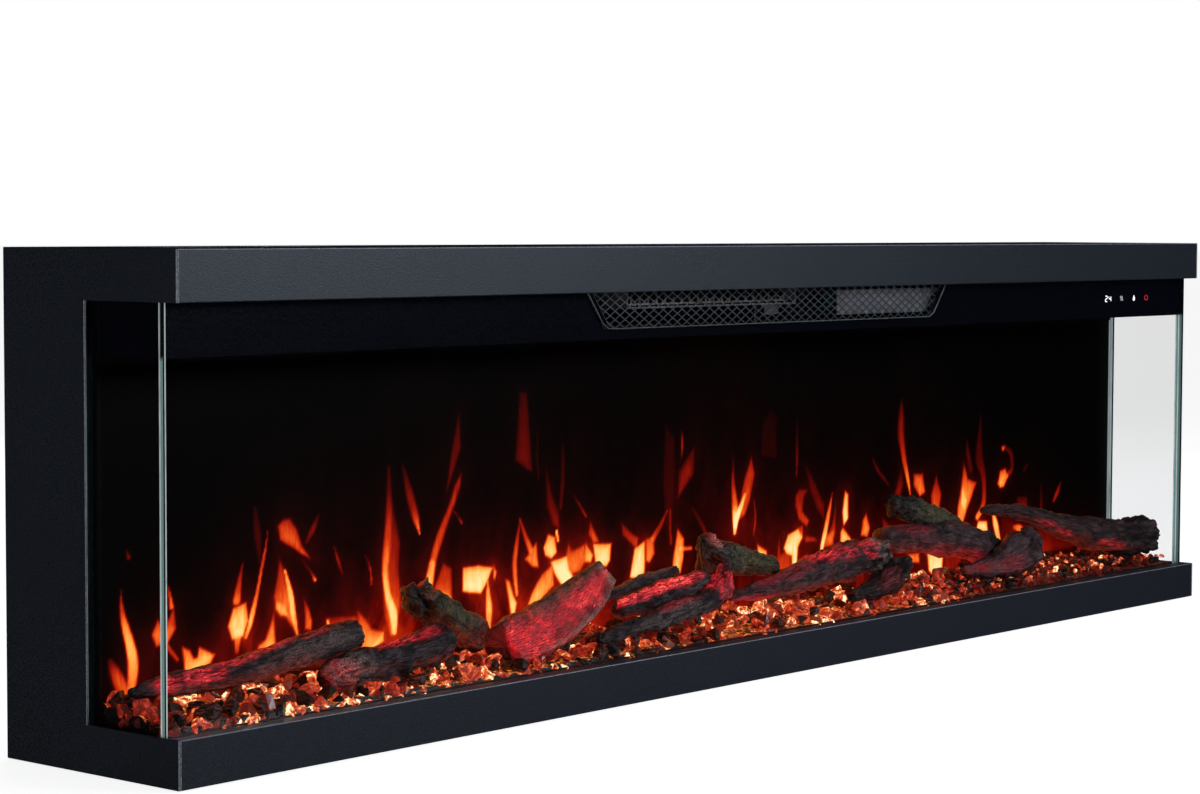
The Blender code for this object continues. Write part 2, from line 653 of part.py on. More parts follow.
def master_switch():
    """A recessed rocker: the pressed half lies level and the other half leans out."""
    middle = at(SWITCH_DEPTH)
    shell = block("power_switch_housing", "black_plastic", (0.7440, INNER),
                  (middle - 0.0068, middle + 0.0068), (SWITCH_Z - 0.0098, SWITCH_Z + 0.0098))
    well = block("switch_well", None, (0.7465, HALF + 0.002), (middle - 0.0050, middle + 0.0050),
                 (SWITCH_Z - 0.0079, SWITCH_Z + 0.0079))
    boolean(shell, well)

    face = 0.0025  # from the pivot to the middle of the face
    reach = 0.0066
    lean = reach * math.tan(-ROCKER_REST)
    side = [
        (face, 0), (face + lean, reach), (0.0012, reach), (-0.0035, 0.0022),
        (-0.0035, -0.0022), (0.0012, -reach), (face + lean, -reach),
    ]
    outline = [(x, z) for x, z in side]
    rocker = plate("power_switch_rocker", "black_plastic", outline, middle - 0.0046,
                   middle + 0.0046, "Y", (), (SWITCH_PIVOT_X, 0, SWITCH_Z))
    pivot = bpy.data.objects.new("power_switch_pivot", None)
    pivot.location = (SWITCH_PIVOT_X, middle, SWITCH_Z)
    parts.objects.link(pivot)
    bpy.context.view_layer.update()
    rocker.parent = pivot
    rocker.matrix_parent_inverse = pivot.matrix_world.inverted()
    pivot.rotation_euler = (0, ROCKER_REST, 0)


def smooth_round_pieces():
    for piece in parts.objects:
        if piece.type == "MESH" and not piece.modifiers:
            piece.data.shade_smooth()
            piece.data.set_sharp_from_angle(angle=math.radians(35))


clear_scene()
parts = new_collection("electric_fireplace")
cutters = new_collection("cutters")
casing()
glazing()
flame_effect()
flicker_drive()
ember_bed()
logs()
heater()
blower()
electrics()
master_switch()
smooth_round_pieces()
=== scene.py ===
"""The looks of the electric fireplace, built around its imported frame.

Metres, in the frame's axes: +X to the viewer's right, +Y to the back, +Z up, with the origin in the
middle of the base. Lists of sizes that are easier to read in millimetres say so and are scaled by MM.
"""

import itertools
import json
import math

import bmesh
import bpy
import numpy as np
from mathutils import Matrix, Quaternion, Vector

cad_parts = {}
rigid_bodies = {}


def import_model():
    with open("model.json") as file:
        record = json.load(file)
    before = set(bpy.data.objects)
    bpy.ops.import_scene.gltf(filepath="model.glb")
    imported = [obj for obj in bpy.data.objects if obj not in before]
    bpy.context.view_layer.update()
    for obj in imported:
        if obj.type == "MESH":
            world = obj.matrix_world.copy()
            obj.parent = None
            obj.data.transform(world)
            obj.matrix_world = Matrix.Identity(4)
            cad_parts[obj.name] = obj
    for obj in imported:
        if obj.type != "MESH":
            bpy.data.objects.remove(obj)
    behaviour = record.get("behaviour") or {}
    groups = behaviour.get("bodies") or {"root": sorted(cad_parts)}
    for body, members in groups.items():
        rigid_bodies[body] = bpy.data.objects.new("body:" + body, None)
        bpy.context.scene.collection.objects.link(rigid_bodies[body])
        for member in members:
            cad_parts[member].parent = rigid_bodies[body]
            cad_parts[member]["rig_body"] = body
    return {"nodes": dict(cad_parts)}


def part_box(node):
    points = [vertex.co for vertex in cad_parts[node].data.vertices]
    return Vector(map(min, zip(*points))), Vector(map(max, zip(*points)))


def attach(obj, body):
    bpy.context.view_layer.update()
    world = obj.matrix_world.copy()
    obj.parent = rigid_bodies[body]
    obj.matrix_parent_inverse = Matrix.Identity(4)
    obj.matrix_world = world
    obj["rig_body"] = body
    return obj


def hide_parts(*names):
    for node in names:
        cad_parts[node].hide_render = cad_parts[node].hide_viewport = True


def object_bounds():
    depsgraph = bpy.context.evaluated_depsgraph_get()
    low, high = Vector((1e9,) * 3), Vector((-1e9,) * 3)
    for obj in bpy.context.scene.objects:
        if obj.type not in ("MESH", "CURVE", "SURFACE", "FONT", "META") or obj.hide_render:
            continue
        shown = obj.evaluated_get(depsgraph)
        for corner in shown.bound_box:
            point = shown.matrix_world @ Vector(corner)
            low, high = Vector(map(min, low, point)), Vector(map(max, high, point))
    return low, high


MM = 0.001
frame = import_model()
cad_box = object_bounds()
nodes = frame["nodes"]
_, FRONT, BASE = cad_box[0]
_, BACK, TOP = cad_box[1]
# How low the printed band reaches, and how wide the border is that runs down the rear of each side pane.
BAND_LOW, BORDER = 0.322, 0.012
# The outlet notch in the front pane: its foot and top, and half its width at each.
NOTCH_LOW, NOTCH_TOP = 0.332, 0.372
NOTCH_HALF_LOW, NOTCH_HALF_TOP = 0.250, 0.280
# How far to the side the print inside the side panes is, and how thick all the print is.
PRINT_X, PRINT = 0.7540, 0.0002
# Where the figures and symbols stand on the band, how tall a figure is, and half its width.
FIGURES = (("2", 0.5990), ("4", 0.6066))
WAVES_X, FLAME_X, POWER_X = 0.6316, 0.6583, 0.6854
SYMBOLS_Z, FIGURE_TALL, FIGURE_HALF = 0.3430, 0.0060, 0.0022
# The lit bars of each seven-segment figure.
SEVEN = {"2": "abged", "4": "fgbc"}
# How bright the surroundings are to the eye, to diffuse light and to reflections.
WORLD_SEEN, WORLD_LIGHT, WORLD_GLOSS = 1.0, 0.20, 0.003
# The camera: its place, its turn from +Y to +X, its dip and roll in degrees, and its lens in millimetres.
CAMERA_PLACE = (-2.1657, -1.7191, 0.4234)
CAMERA_YAW, CAMERA_DOWN, CAMERA_ROLL = 49.363, 3.447, 0.198
CAMERA_LENS = 86.15
# The points around a log, and the rings that close a broken end (False) or a sawn one (True), from the tip:
# how wide each is, and how far past the end, in radii.
LOG_SIDES = 60
END_RINGS = {
    False: [(0.30, 0.50), (0.58, 0.42), (0.80, 0.27), (0.94, 0.10)],
    True: [(0.45, -0.06), (0.84, 0.03), (0.96, 0.02)],
}


def depth(mm):
    """The y of a plane this many millimetres behind the front."""
    return FRONT + mm * MM


# ---------------------------------------------------------------- noise and curves

LATTICE = np.random.default_rng(11).random((48, 48, 48))


def wobble(points, size):
    """Smooth noise from -1 to 1 at each row of points. size is its grain, one number or one for each axis."""
    scaled = np.asarray(points, float) / np.asarray(size, float)
    cell = np.floor(scaled).astype(int)
    part = scaled - cell
    part = part * part * (3 - 2 * part)
    total = np.zeros(len(scaled))
    for corner in itertools.product((0, 1), repeat=3):
        share = np.prod(np.where(corner, part, 1 - part), axis=1)
        total += share * LATTICE[tuple(((cell + corner) % 48).T)]
    return 2 * total - 1


def rough(points, size, octaves=4):
    """Noise with finer grain added in halving steps."""
    size = np.asarray(size, float)
    return sum(wobble(points + 7.7 * size * k, size / 2**k) / 2**k for k in range(octaves))


def smooth(low, high, value):
    """0 at low and 1 at high, with an even ease between; low may be the larger."""
    t = np.clip((value - low) / (high - low), 0, 1)
    return t * t * (3 - 2 * t)


def spline(rows, step):
    """Rows along one smooth curve through the given ones. Their first columns are the place."""
    p = np.array(rows, float)
    p = np.vstack([2 * p[0] - p[1], p, 2 * p[-1] - p[-2]])
    out = []
    for a, b, c, d in zip(p, p[1:], p[2:], p[3:]):
        count = max(2, round(float(np.linalg.norm((c - b)[:3])) / step))
        t = np.linspace(0, 1, count, endpoint=False)[:, None]
        out.append(
            0.5 * (
                2 * b + (c - a) * t + (2 * a - 5 * b + 4 * c - d) * t**2 + (3 * b - a - 3 * c + d) * t**3
            )
        )
    return np.vstack([*out, p[-2:-1]])


# ---------------------------------------------------------------- meshes

def piece_from(name, mesh, *materials, body="root", slot=None, replaces=()):
    """A shown piece from a mesh or bmesh. It rides on its body and stands for the CAD nodes it names."""
    if isinstance(mesh, bmesh.types.BMesh):
        data = bpy.data.meshes.new(name)
        mesh.to_mesh(data)
        mesh.free()
    else:
        data = mesh
    piece = bpy.data.objects.new(name, data)
    bpy.context.scene.collection.objects.link(piece)
    for material in materials:
        data.materials.append(material)
    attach(piece, body)
    if replaces:
        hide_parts(*replaces)
    return piece


def mesh_of(name, points, faces, smooth_faces=True):
    mesh = bpy.data.meshes.new(name)
    mesh.from_pydata([tuple(p) for p in points], [], [tuple(f) for f in faces])
    mesh.polygons.foreach_set("use_smooth", [smooth_faces] * len(mesh.polygons))
    mesh.update()
    return mesh


def paint(mesh, name, values):
    """A number at each point, which the material reads by this name."""
    layer = mesh.attributes.new(name, "FLOAT", "POINT")
    layer.data.foreach_set("value", np.asarray(values, np.float32))


def soften(bm, radius, arris=0, lit_only=False):
    """Merges the flat facets of a CAD mesh and rounds its edges of more than 35 degrees. The rounded edges
    get a material of their own, a painted highlight; where only lit edges are asked for, just those that face
    the front and also up or to a side get it."""
    bmesh.ops.remove_doubles(bm, verts=bm.verts, dist=2e-6)
    bmesh.ops.dissolve_limit(bm, angle_limit=math.radians(1), verts=bm.verts, edges=bm.edges)
    for face in bm.faces:
        face.smooth = False
    sharp = [e for e in bm.edges if e.is_manifold and math.degrees(e.calc_face_angle(0)) > 35]
    made = bmesh.ops.bevel(
        bm, geom=sharp, offset=radius, segments=2, profile=0.5, affect="EDGES", clamp_overlap=True
    )
    bm.normal_update()
    for face in made["faces"]:
        face.smooth = True
        lit = -face.normal.y > 0.2 and (face.normal.z > 0.2 or abs(face.normal.x) > 0.2)
        face.material_index = arris if lit or not lit_only else 0


def refined(node, name, radius, *materials, slot=None, choose=None, arris=0, lit_only=False):
    """A copy of a CAD node with rounded edges, which stands for it. choose gives each flat face's material,
    and the rounded edges get the material that paints a highlight on them."""
    bm = bmesh.new()
    bm.from_mesh(nodes[node].data)
    soften(bm, radius, arris, lit_only)
    if choose:
        for face in bm.faces:
            face.material_index = face.material_index or choose(face)
    return piece_from(name, bm, *materials, slot=slot, replaces=[node], body=nodes[node]["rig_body"])


def slab(outline, plane, low, high):
    """A plate: an outline of points in the plane "xz" or "yz", from low to high along the third axis."""
    bm = bmesh.new()
    place = {"xz": lambda a, b: (a, low, b), "yz": lambda a, b: (low, a, b)}[plane]
    push = {"xz": (0, high - low, 0), "yz": (high - low, 0, 0)}[plane]
    face = bm.faces.new([bm.verts.new(place(a, b)) for a, b in outline])
    made = bmesh.ops.extrude_face_region(bm, geom=[face])["geom"]
    bmesh.ops.translate(bm, vec=push, verts=[v for v in made if isinstance(v, bmesh.types.BMVert)])
    bmesh.ops.recalc_face_normals(bm, faces=bm.faces)
    return bm


def joined(meshes):
    """One bmesh from several."""
    whole = bmesh.new()
    for bm in meshes:
        data = bpy.data.meshes.new("joined")
        bm.to_mesh(data)
        bm.free()
        whole.from_mesh(data)
        bpy.data.meshes.remove(data)
    return whole


# ---------------------------------------------------------------- materials

class Look:
    """A node material. Colours are linear, and grain sizes are in metres."""

    def __init__(self, name, roughness=0.5, metallic=0.0, **inputs):
        self.material = bpy.data.materials.new(name)
        self.material.use_nodes = True
        self.tree = self.material.node_tree
        self.tree.nodes.clear()
        self.out = self.tree.nodes.new("ShaderNodeOutputMaterial")
        self.shader = self.add("BsdfPrincipled", {"Roughness": roughness, "Metallic": metallic})
        self.tree.links.new(self.shader.outputs[0], self.out.inputs["Surface"])
        self.place = self.add("TexCoord").outputs["Object"]
        self.set(**inputs)

    def add(self, kind, values=(), **settings):
        node = self.tree.nodes.new("ShaderNode" + kind)
        for key, value in settings.items():
            setattr(node, key, value)
        for key, value in dict(values).items():
            self.give(node.inputs[key], value)
        return node

    def give(self, socket, value):
        if isinstance(value, bpy.types.NodeSocket):
            self.tree.links.new(value, socket)
        elif isinstance(value, (tuple, list)) and len(value) == 3 and socket.type == "RGBA":
            socket.default_value = (*value, 1)
        else:
            socket.default_value = value

    def set(self, **inputs):
        for key, value in inputs.items():
            self.give(self.shader.inputs[key.replace("_", " ")], value)
        return self

    def attribute(self, name):
        return self.add("Attribute", attribute_name=name).outputs["Fac"]

    def stretched(self, grain, place=None):
        """Coordinates in which a noise of scale 1 has this grain along each axis."""
        scale = tuple(1 / g for g in grain)
        return self.add("Mapping", {"Vector": place or self.place, "Scale": scale}).outputs[0]

    def noise(self, grain, detail=3, roughness=0.55, place=None, distortion=0.0):
        if isinstance(grain, tuple):
            place, grain = self.stretched(grain, place), 1
        values = {
            "Vector": place or self.place,
            "Scale": 1 / grain,
            "Detail": detail,
            "Roughness": roughness,
            "Distortion": distortion,
        }
        return self.add("TexNoise", values).outputs["Fac"]

    def cells(self, grain, feature="F1", output="Distance", place=None):
        if isinstance(grain, tuple):
            place, grain = self.stretched(grain, place), 1
        values = {"Vector": place or self.place, "Scale": 1 / grain}
        return self.add("TexVoronoi", values, feature=feature).outputs[output]

    def ramp(self, factor, *stops):
        """A colour or a grey for each stop (position, colour)."""
        node = self.add("ValToRGB", {"Fac": factor})
        steps = node.color_ramp.elements
        steps[0].position, steps[1].position = stops[0][0], stops[-1][0]
        for position, _ in stops[1:-1]:
            steps.new(position)
        for position, colour in stops:
            step = next(s for s in steps if abs(s.position - position) < 1e-6)
            step.color = (*((colour,) * 3 if isinstance(colour, (int, float)) else colour), 1)
        return node.outputs["Color"]

    def maths(self, operation, a, b=0.0):
        node = self.add("Math", operation=operation)
        self.give(node.inputs[0], a)
        self.give(node.inputs[1], b)
        return node.outputs[0]

    def mix(self, factor, a, b):
        node = self.add("Mix", data_type="RGBA")
        self.give(node.inputs["Factor"], factor)
        self.give(node.inputs[6], a)
        self.give(node.inputs[7], b)
        return node.outputs[2]

    def bump(self, height, distance, strength):
        normal = self.add("Bump", {"Height": height, "Distance": distance, "Strength": strength})
        self.set(Normal=normal.outputs[0])

    def times(self, a, b):
        return self.maths("MULTIPLY", a, b)

    def axis(self, letter):
        """The place along one of the piece's own axes."""
        return self.add("SeparateXYZ", {"Vector": self.place}).outputs[letter]

    def span(self, value, low, high):
        """Low where value is 0, and high where it is 1."""
        return self.add("MapRange", {"Value": value, "To Min": low, "To Max": high}).outputs[0]

    def gate(self, value, start, end):
        """0 where value is at start and 1 where it is at end."""
        return self.add("MapRange", {"Value": value, "From Min": start, "From Max": end}).outputs[0]


def tint(colour, factor):
    return tuple(c * factor for c in colour)


def powder_coat(name, colour, roughness=0.42, grain=0.0013, shine=0.5):
    """Satin powder coat: a fine orange-peel grain, faint cloudiness and dust."""
    look = Look(name, Specular_IOR_Level=shine, Specular_Tint=(0.80, 0.88, 1.0, 1))
    peel = look.noise(grain, 4, 0.6)
    cloud = look.noise(0.16, 3)
    speck = look.ramp(look.noise(0.0011, 2), (0.60, 0), (0.70, 1))
    base = look.mix(look.ramp(cloud, (0.3, 0), (0.7, 1)), tint(colour, 0.86), tint(colour, 1.14))
    base = look.mix(look.ramp(peel, (0.40, 0), (0.62, 1)), base, tint(colour, 2.6))
    look.set(Base_Color=look.mix(look.times(speck, 0.45), base, tint(colour, 4)))
    look.set(Roughness=look.span(peel, roughness - 0.07, roughness + 0.11))
    look.bump(peel, 0.00030, 0.9)
    return look.material


def matt_paint(name, colour):
    look = Look(name, Specular_IOR_Level=0.1)
    dust = look.noise((0.03, 0.03, 0.012), 5)
    grain = look.noise(0.0009, 3)
    look.set(Base_Color=look.mix(look.ramp(dust, (0.35, 0), (0.75, 1)), colour, tint(colour, 2.0)))
    look.set(Roughness=look.span(dust, 0.55, 0.8))
    look.bump(grain, 0.00006, 0.6)
    return look.material


def zinc(name, colour):
    """Zinc-coated sheet: overlapping crystal flakes, each with its own brightness and gloss."""
    look = Look(name, metallic=0.45)
    flakes = look.cells(0.011, output="Color")
    split = look.add("SeparateColor", {"Color": flakes})
    streak = look.noise((0.05, 0.002, 0.002), 3)
    shade = look.mix(split.outputs[0], tint(colour, 0.72), tint(colour, 1.12))
    look.set(Base_Color=look.mix(look.ramp(streak, (0.4, 0), (0.7, 0.35)), shade, tint(colour, 0.6)))
    look.set(Roughness=look.span(split.outputs[1], 0.24, 0.46))
    look.bump(look.noise(0.002, 3), 0.00005, 0.4)
    return look.material


def drawn_metal(name, colour, roughness=0.3, along=0):
    """Metal with the fine lines of drawing or grinding along one axis, and a few dull patches."""
    look = Look(name, metallic=1.0)
    grain = [0.0004] * 3
    grain[along] = 0.03
    lines = look.noise(tuple(grain), 4)
    patches = look.noise(0.012, 4)
    base = look.mix(look.ramp(lines, (0.3, 0), (0.7, 1)), tint(colour, 0.75), tint(colour, 1.1))
    look.set(Base_Color=look.mix(look.ramp(patches, (0.55, 0), (0.8, 0.5)), base, tint(colour, 0.5)))
    look.set(Roughness=look.span(lines, roughness - 0.1, roughness + 0.15))
    look.bump(lines, 0.00003, 0.5)
    return look.material


def moulded(name, colour, roughness=0.45, grain=0.0008):
    """Moulded plastic: a fine spark texture, slight flow marks and handling shine."""
    look = Look(name)
    texture = look.noise(grain, 3)
    flow = look.noise((0.02, 0.006, 0.02), 3, distortion=0.6)
    look.set(Base_Color=look.mix(look.ramp(flow, (0.3, 0), (0.7, 1)), tint(colour, 0.82), tint(colour, 1.15)))
    look.set(Roughness=look.span(flow, roughness - 0.1, roughness + 0.12))
    look.bump(texture, 0.00005, 0.5)
    return look.material


def circuit(name, colour):
    """Solder mask over copper tracks, with bright pads."""
    look = Look(name)
    grid = look.add("TexBrick", {
        "Vector": look.place, "Scale": 120.0, "Mortar Size": 0.05, "Color1": tint(colour, 0.8),
        "Color2": tint(colour, 1.2), "Mortar": tint(colour, 1.9),
    }, offset=0.35)
    pads = look.ramp(look.cells(0.006), (0.1, 1), (0.14, 0))
    look.set(Base_Color=look.mix(pads, grid.outputs["Color"], (0.75, 0.72, 0.65)))
    look.set(Roughness=look.ramp(look.noise(0.01, 3), (0.3, 0.22), (0.7, 0.42)))
    look.bump(look.mix(pads, grid.outputs["Fac"], (1, 1, 1)), 0.00008, 0.6)
    return look.material


def led_strip(name, colour):
    """White solder mask with a warm light emitter every 25 mm."""
    look = Look(name)
    within = look.maths("FRACT", look.maths("DIVIDE", look.axis("X"), 0.025))
    away = look.maths("ABSOLUTE", look.maths("SUBTRACT", within, 0.5))
    lamp = look.ramp(away, (0.06, 1), (0.09, 0))
    board = look.mix(look.noise(0.004, 3), tint(colour, 0.8), colour)
    look.set(
        Base_Color=look.mix(lamp, board, (0.9, 0.75, 0.3)),
        Roughness=look.ramp(look.noise(0.01), (0.3, 0.35), (0.7, 0.55)),
    )
    look.set(Emission_Color=(1.0, 0.42, 0.12, 1), Emission_Strength=look.times(lamp, 3.0))
    look.bump(lamp, 0.0004, 0.6)
    return look.material


def windings(name, colour):
    look = Look(name, metallic=0.9)
    turns = look.add(
        "TexWave", {"Vector": look.place, "Scale": 420.0, "Distortion": 0.4}, bands_direction="X"
    ).outputs["Fac"]
    # Darker between the turns: painted shade in the gaps between the wires.
    look.set(Base_Color=look.mix(turns, tint(colour, 0.35), tint(colour, 1.15)))
    look.set(Roughness=look.ramp(turns, (0.2, 0.5), (0.8, 0.28)))
    look.bump(turns, 0.0002, 0.8)
    return look.material


def burnt_fins(name, colour):
    """Aluminium fins with the straw and blue tints of heat."""
    look = Look(name, metallic=1.0)
    heat = look.noise((0.02, 0.008, 0.008), 4)
    look.set(
        Base_Color=look.ramp(
            heat, (0.3, tint(colour, 0.8)), (0.5, tint(colour, 2.3)), (0.62, (0.5, 0.33, 0.16)),
            (0.72, (0.2, 0.2, 0.3)),
        )
    )
    look.set(Roughness=look.ramp(look.noise(0.004), (0.3, 0.25), (0.7, 0.5)))
    look.bump(look.noise(0.0012), 0.0001, 0.5)
    return look.material


def clear_glass():
    """Float glass seen through its faces: a faint green tint, a mirror share by angle, and wiped-on haze."""
    look = Look("glass_clear")
    haze = look.noise((0.09, 0.05, 0.05), 4, distortion=0.8)
    look.tree.nodes.remove(look.shader)
    through = look.add(
        "BsdfTransparent",
        {"Color": look.ramp(haze, (0.3, (0.989, 0.990, 0.990)), (0.7, (0.983, 0.984, 0.984)))},
    )
    mirror = look.add(
        "BsdfGlossy", {"Color": (0.9, 0.95, 1.0), "Roughness": look.ramp(haze, (0.3, 0.015), (0.75, 0.05))}
    )
    slant = look.maths("POWER", look.add("LayerWeight", {"Blend": 0.5}).outputs["Facing"], 5)
    share = look.span(slant, 0.028, 0.9)
    both = look.add("MixShader", {0: share, 1: through.outputs[0], 2: mirror.outputs[0]})
    look.tree.links.new(both.outputs[0], look.out.inputs["Surface"])
    return look.material


def glass_edge():
    """The ground and polished edge of a pane. Towards its rear and below the band, the glass's own green is
    shown lightened and glowing: painted light, standing in for light from behind shining through the edge.
    Elsewhere it is painted near black, as painted shade.
    """
    look = Look("glass_edge", Coat_Weight=0.6, Coat_Roughness=0.08)
    bands = look.noise((0.2, 0.0012, 0.2), 3)
    rear = look.gate(look.axis("Y"), -0.0850, -0.0844)
    below = look.gate(look.axis("Z"), BAND_LOW + 0.002, BAND_LOW - 0.002)
    # Where the edge is painted as lit from behind: its rear, below the band; everywhere else it is painted
    # near black.
    shown = look.times(rear, below)
    backlit_teal = look.ramp(bands, (0.3, (0.10, 0.19, 0.18)), (0.7, (0.20, 0.34, 0.32)))
    look.set(Base_Color=look.mix(shown, (0.004, 0.006, 0.008), backlit_teal))
    look.set(Roughness=look.ramp(look.noise(0.003), (0.3, 0.12), (0.7, 0.3)))
    look.set(Emission_Color=(0.30, 0.50, 0.48, 1), Emission_Strength=look.times(shown, 0.10))
    look.bump(look.noise(0.0007), 0.00004, 0.4)
    return look.material


def glass_arris():
    """The narrow ground chamfers of a pane. They are grey, with a painted glint that brightens them towards
    the ends of the front pane and on the side panes. At the band's right end they are painted near black and
    lose their shine: painted shade.
    """
    look = Look("glass_arris")
    grind = look.noise((0.004, 0.004, 0.03), 3)
    # Painted glint: this brightens the chamfers near the ends of the front pane and on the side panes.
    corner = look.gate(look.maths("ABSOLUTE", look.axis("X")), 0.70, 0.74)
    band_height = look.maths("GREATER_THAN", look.axis("Z"), BAND_LOW)
    band_end_shade = look.times(band_height, look.maths("GREATER_THAN", look.axis("X"), 0.70))
    shown = look.maths("SUBTRACT", 1.0, band_end_shade)
    corner = look.times(corner, shown)
    dull = look.ramp(grind, (0.3, (0.07, 0.085, 0.085)), (0.7, (0.14, 0.16, 0.16)))
    bright = look.ramp(grind, (0.3, (0.42, 0.50, 0.49)), (0.7, (0.78, 0.84, 0.83)))
    look.set(Base_Color=look.mix(band_end_shade, look.mix(corner, dull, bright), (0.004, 0.004, 0.005)))
    look.set(Specular_IOR_Level=look.times(0.5, shown))
    look.set(Roughness=look.ramp(grind, (0.3, 0.2), (0.7, 0.42)))
    look.bump(grind, 0.00005, 0.5)
    return look.material


def glow(name, colour, strength):
    """A lit symbol, its brightness varying with the fine grain of its diffuser."""
    look = Look(name, roughness=0.4)
    grain = look.noise(0.0006, 2)
    look.set(Base_Color=look.mix(grain, tint(colour, 0.5), colour))
    look.set(Roughness=look.ramp(grain, (0.3, 0.3), (0.7, 0.5)))
    look.set(
        Emission_Color=(*colour, 1),
        Emission_Strength=look.ramp(grain, (0.2, strength * 0.75), (0.8, strength)),
    )
    look.bump(grain, 0.00002, 0.3)
    return look.material


# ---------------------------------------------------------------- bark and stone

def bark(name, dark, light, fissure, moss, glow_colours, grain=(0.009, 0.0011), relief=0.0011):
    """Cast resin painted as wood. The mesh says where it is mossy, ashen or lit from inside."""
    look = Look(name, Specular_IOR_Level=0.35)
    uv = look.add("UVMap", uv_map="grain").outputs[0]
    fibre = look.noise((*grain, 1), 8, 0.72, place=uv, distortion=0.4)
    plates = look.cells((grain[0] * 1.6, grain[1] * 3.4, 1), "DISTANCE_TO_EDGE", place=uv)
    patch = look.noise(0.011, 6, 0.66)
    grit = look.noise(0.0009, 4, 0.7)
    groove = look.times(look.ramp(plates, (0.0, 1), (0.09, 0)), look.ramp(patch, (0.42, 0), (0.6, 1)))
    wood = look.mix(look.ramp(fibre, (0.43, 0), (0.61, 1)), dark, light)
    wood = look.mix(look.ramp(patch, (0.40, 0), (0.60, 0.7)), wood, tint(dark, 0.8))
    # How much darker the bark is painted: most in its fissures and in the low parts of its crags.
    crevice_dark = look.attribute("crevice_dark")
    green = look.times(look.attribute("moss"), look.ramp(patch, (0.32, 0.45), (0.56, 1)))
    wood = look.mix(
        green, wood,
        look.ramp(grit, (0.36, tint(moss, 0.10)), (0.50, tint(moss, 0.8)), (0.64, tint(moss, 2.4))),
    )
    pale = look.times(look.attribute("ash"), look.ramp(grit, (0.46, 0), (0.60, 1)))
    wood = look.mix(pale, wood, (0.42, 0.33, 0.28))
    speck = look.ramp(grit, (0.60, 0), (0.68, 0.6))
    wood = look.mix(speck, wood, tint(light, 2.8))
    cracks = look.maths("MAXIMUM", look.times(groove, 0.9), look.times(crevice_dark, 0.94))
    look.set(Base_Color=look.mix(cracks, wood, fissure))
    look.set(Roughness=look.ramp(fibre, (0.3, 0.72), (0.7, 0.46)))
    heat = look.attribute("glow")
    grainy = look.times(look.ramp(fibre, (0.40, 0.22), (0.60, 1)), look.ramp(grit, (0.36, 0.45), (0.60, 1.1)))
    spotty = look.times(look.ramp(patch, (0.38, 0.35), (0.58, 1)), look.ramp(groove, (0.0, 1), (1.0, 0.15)))
    spotty = look.times(spotty, look.ramp(crevice_dark, (0.0, 1), (1.0, 0.12)))
    lit = look.times(look.times(grainy, spotty), heat)
    look.set(
        Emission_Color=look.ramp(
            lit, (0.0, glow_colours[0]), (0.45, glow_colours[1]), (1.0, glow_colours[2])
        )
    )
    look.set(Emission_Strength=look.times(lit, 2.1))
    height = look.maths("SUBTRACT", look.maths("ADD", fibre, look.times(grit, 0.35)), look.times(groove, 0.5))
    look.bump(height, relief, 0.9)
    return look.material


def crystal(name):
    """Amber and clear resin lit from below. Each stone has its own heat, and a tone from brown to clear."""
    look = Look(name, Coat_Weight=0.25, Coat_Roughness=0.1)
    heat = look.attribute("warmth")
    tone = look.attribute("tone")
    cloud = look.noise(0.006, 5, 0.65, distortion=0.6)
    veins = look.ramp(look.cells(0.007, "DISTANCE_TO_EDGE"), (0.0, 1), (0.12, 0))
    body = look.ramp(
        tone, (0.0, (0.075, 0.012, 0.009)), (0.5, (0.26, 0.040, 0.024)), (1.0, (0.50, 0.20, 0.13))
    )
    look.set(Base_Color=look.mix(look.ramp(cloud, (0.35, 0), (0.7, 0.8)), body, (0.09, 0.02, 0.012)))
    fire = look.times(heat, look.ramp(cloud, (0.34, 0.06), (0.52, 0.55), (0.68, 1.35)))
    fire = look.maths("ADD", fire, look.times(veins, look.times(heat, 0.25)))
    look.set(Emission_Color=look.ramp(
        fire, (0.0, (0.40, 0.007, 0.006)), (0.32, (0.80, 0.040, 0.018)), (0.65, (1.0, 0.17, 0.045)),
        (0.86, (1.0, 0.46, 0.14)), (1.0, (1.0, 0.82, 0.45))
    ))
    look.set(Emission_Strength=look.times(fire, 1.35))
    look.set(Roughness=look.ramp(cloud, (0.3, 0.12), (0.7, 0.38)))
    look.bump(cloud, 0.0011, 0.7)
    return look.material


def charcoal(name):
    look = Look(name)
    layers = look.noise((0.006, 0.006, 0.0012), 5, 0.65)
    pits = look.ramp(look.cells(0.0022), (0.1, 0), (0.5, 1))
    look.set(
        Base_Color=look.ramp(
            layers, (0.3, (0.003, 0.0027, 0.003)), (0.6, (0.012, 0.010, 0.0105)),
            (0.8, (0.050, 0.040, 0.038)),
        )
    )
    look.set(Roughness=look.ramp(layers, (0.3, 0.34), (0.7, 0.62)))
    # Painted light: a red glow in emission on the lighter layers, scaled by each chip's warmth, though the
    # chips are no lamp.
    warm = look.times(look.attribute("warmth"), look.ramp(layers, (0.5, 0), (0.75, 1)))
    look.set(Emission_Color=(1.0, 0.10, 0.015, 1), Emission_Strength=warm)
    look.bump(look.mix(0.5, layers, pits), 0.0008, 0.8)
    return look.material


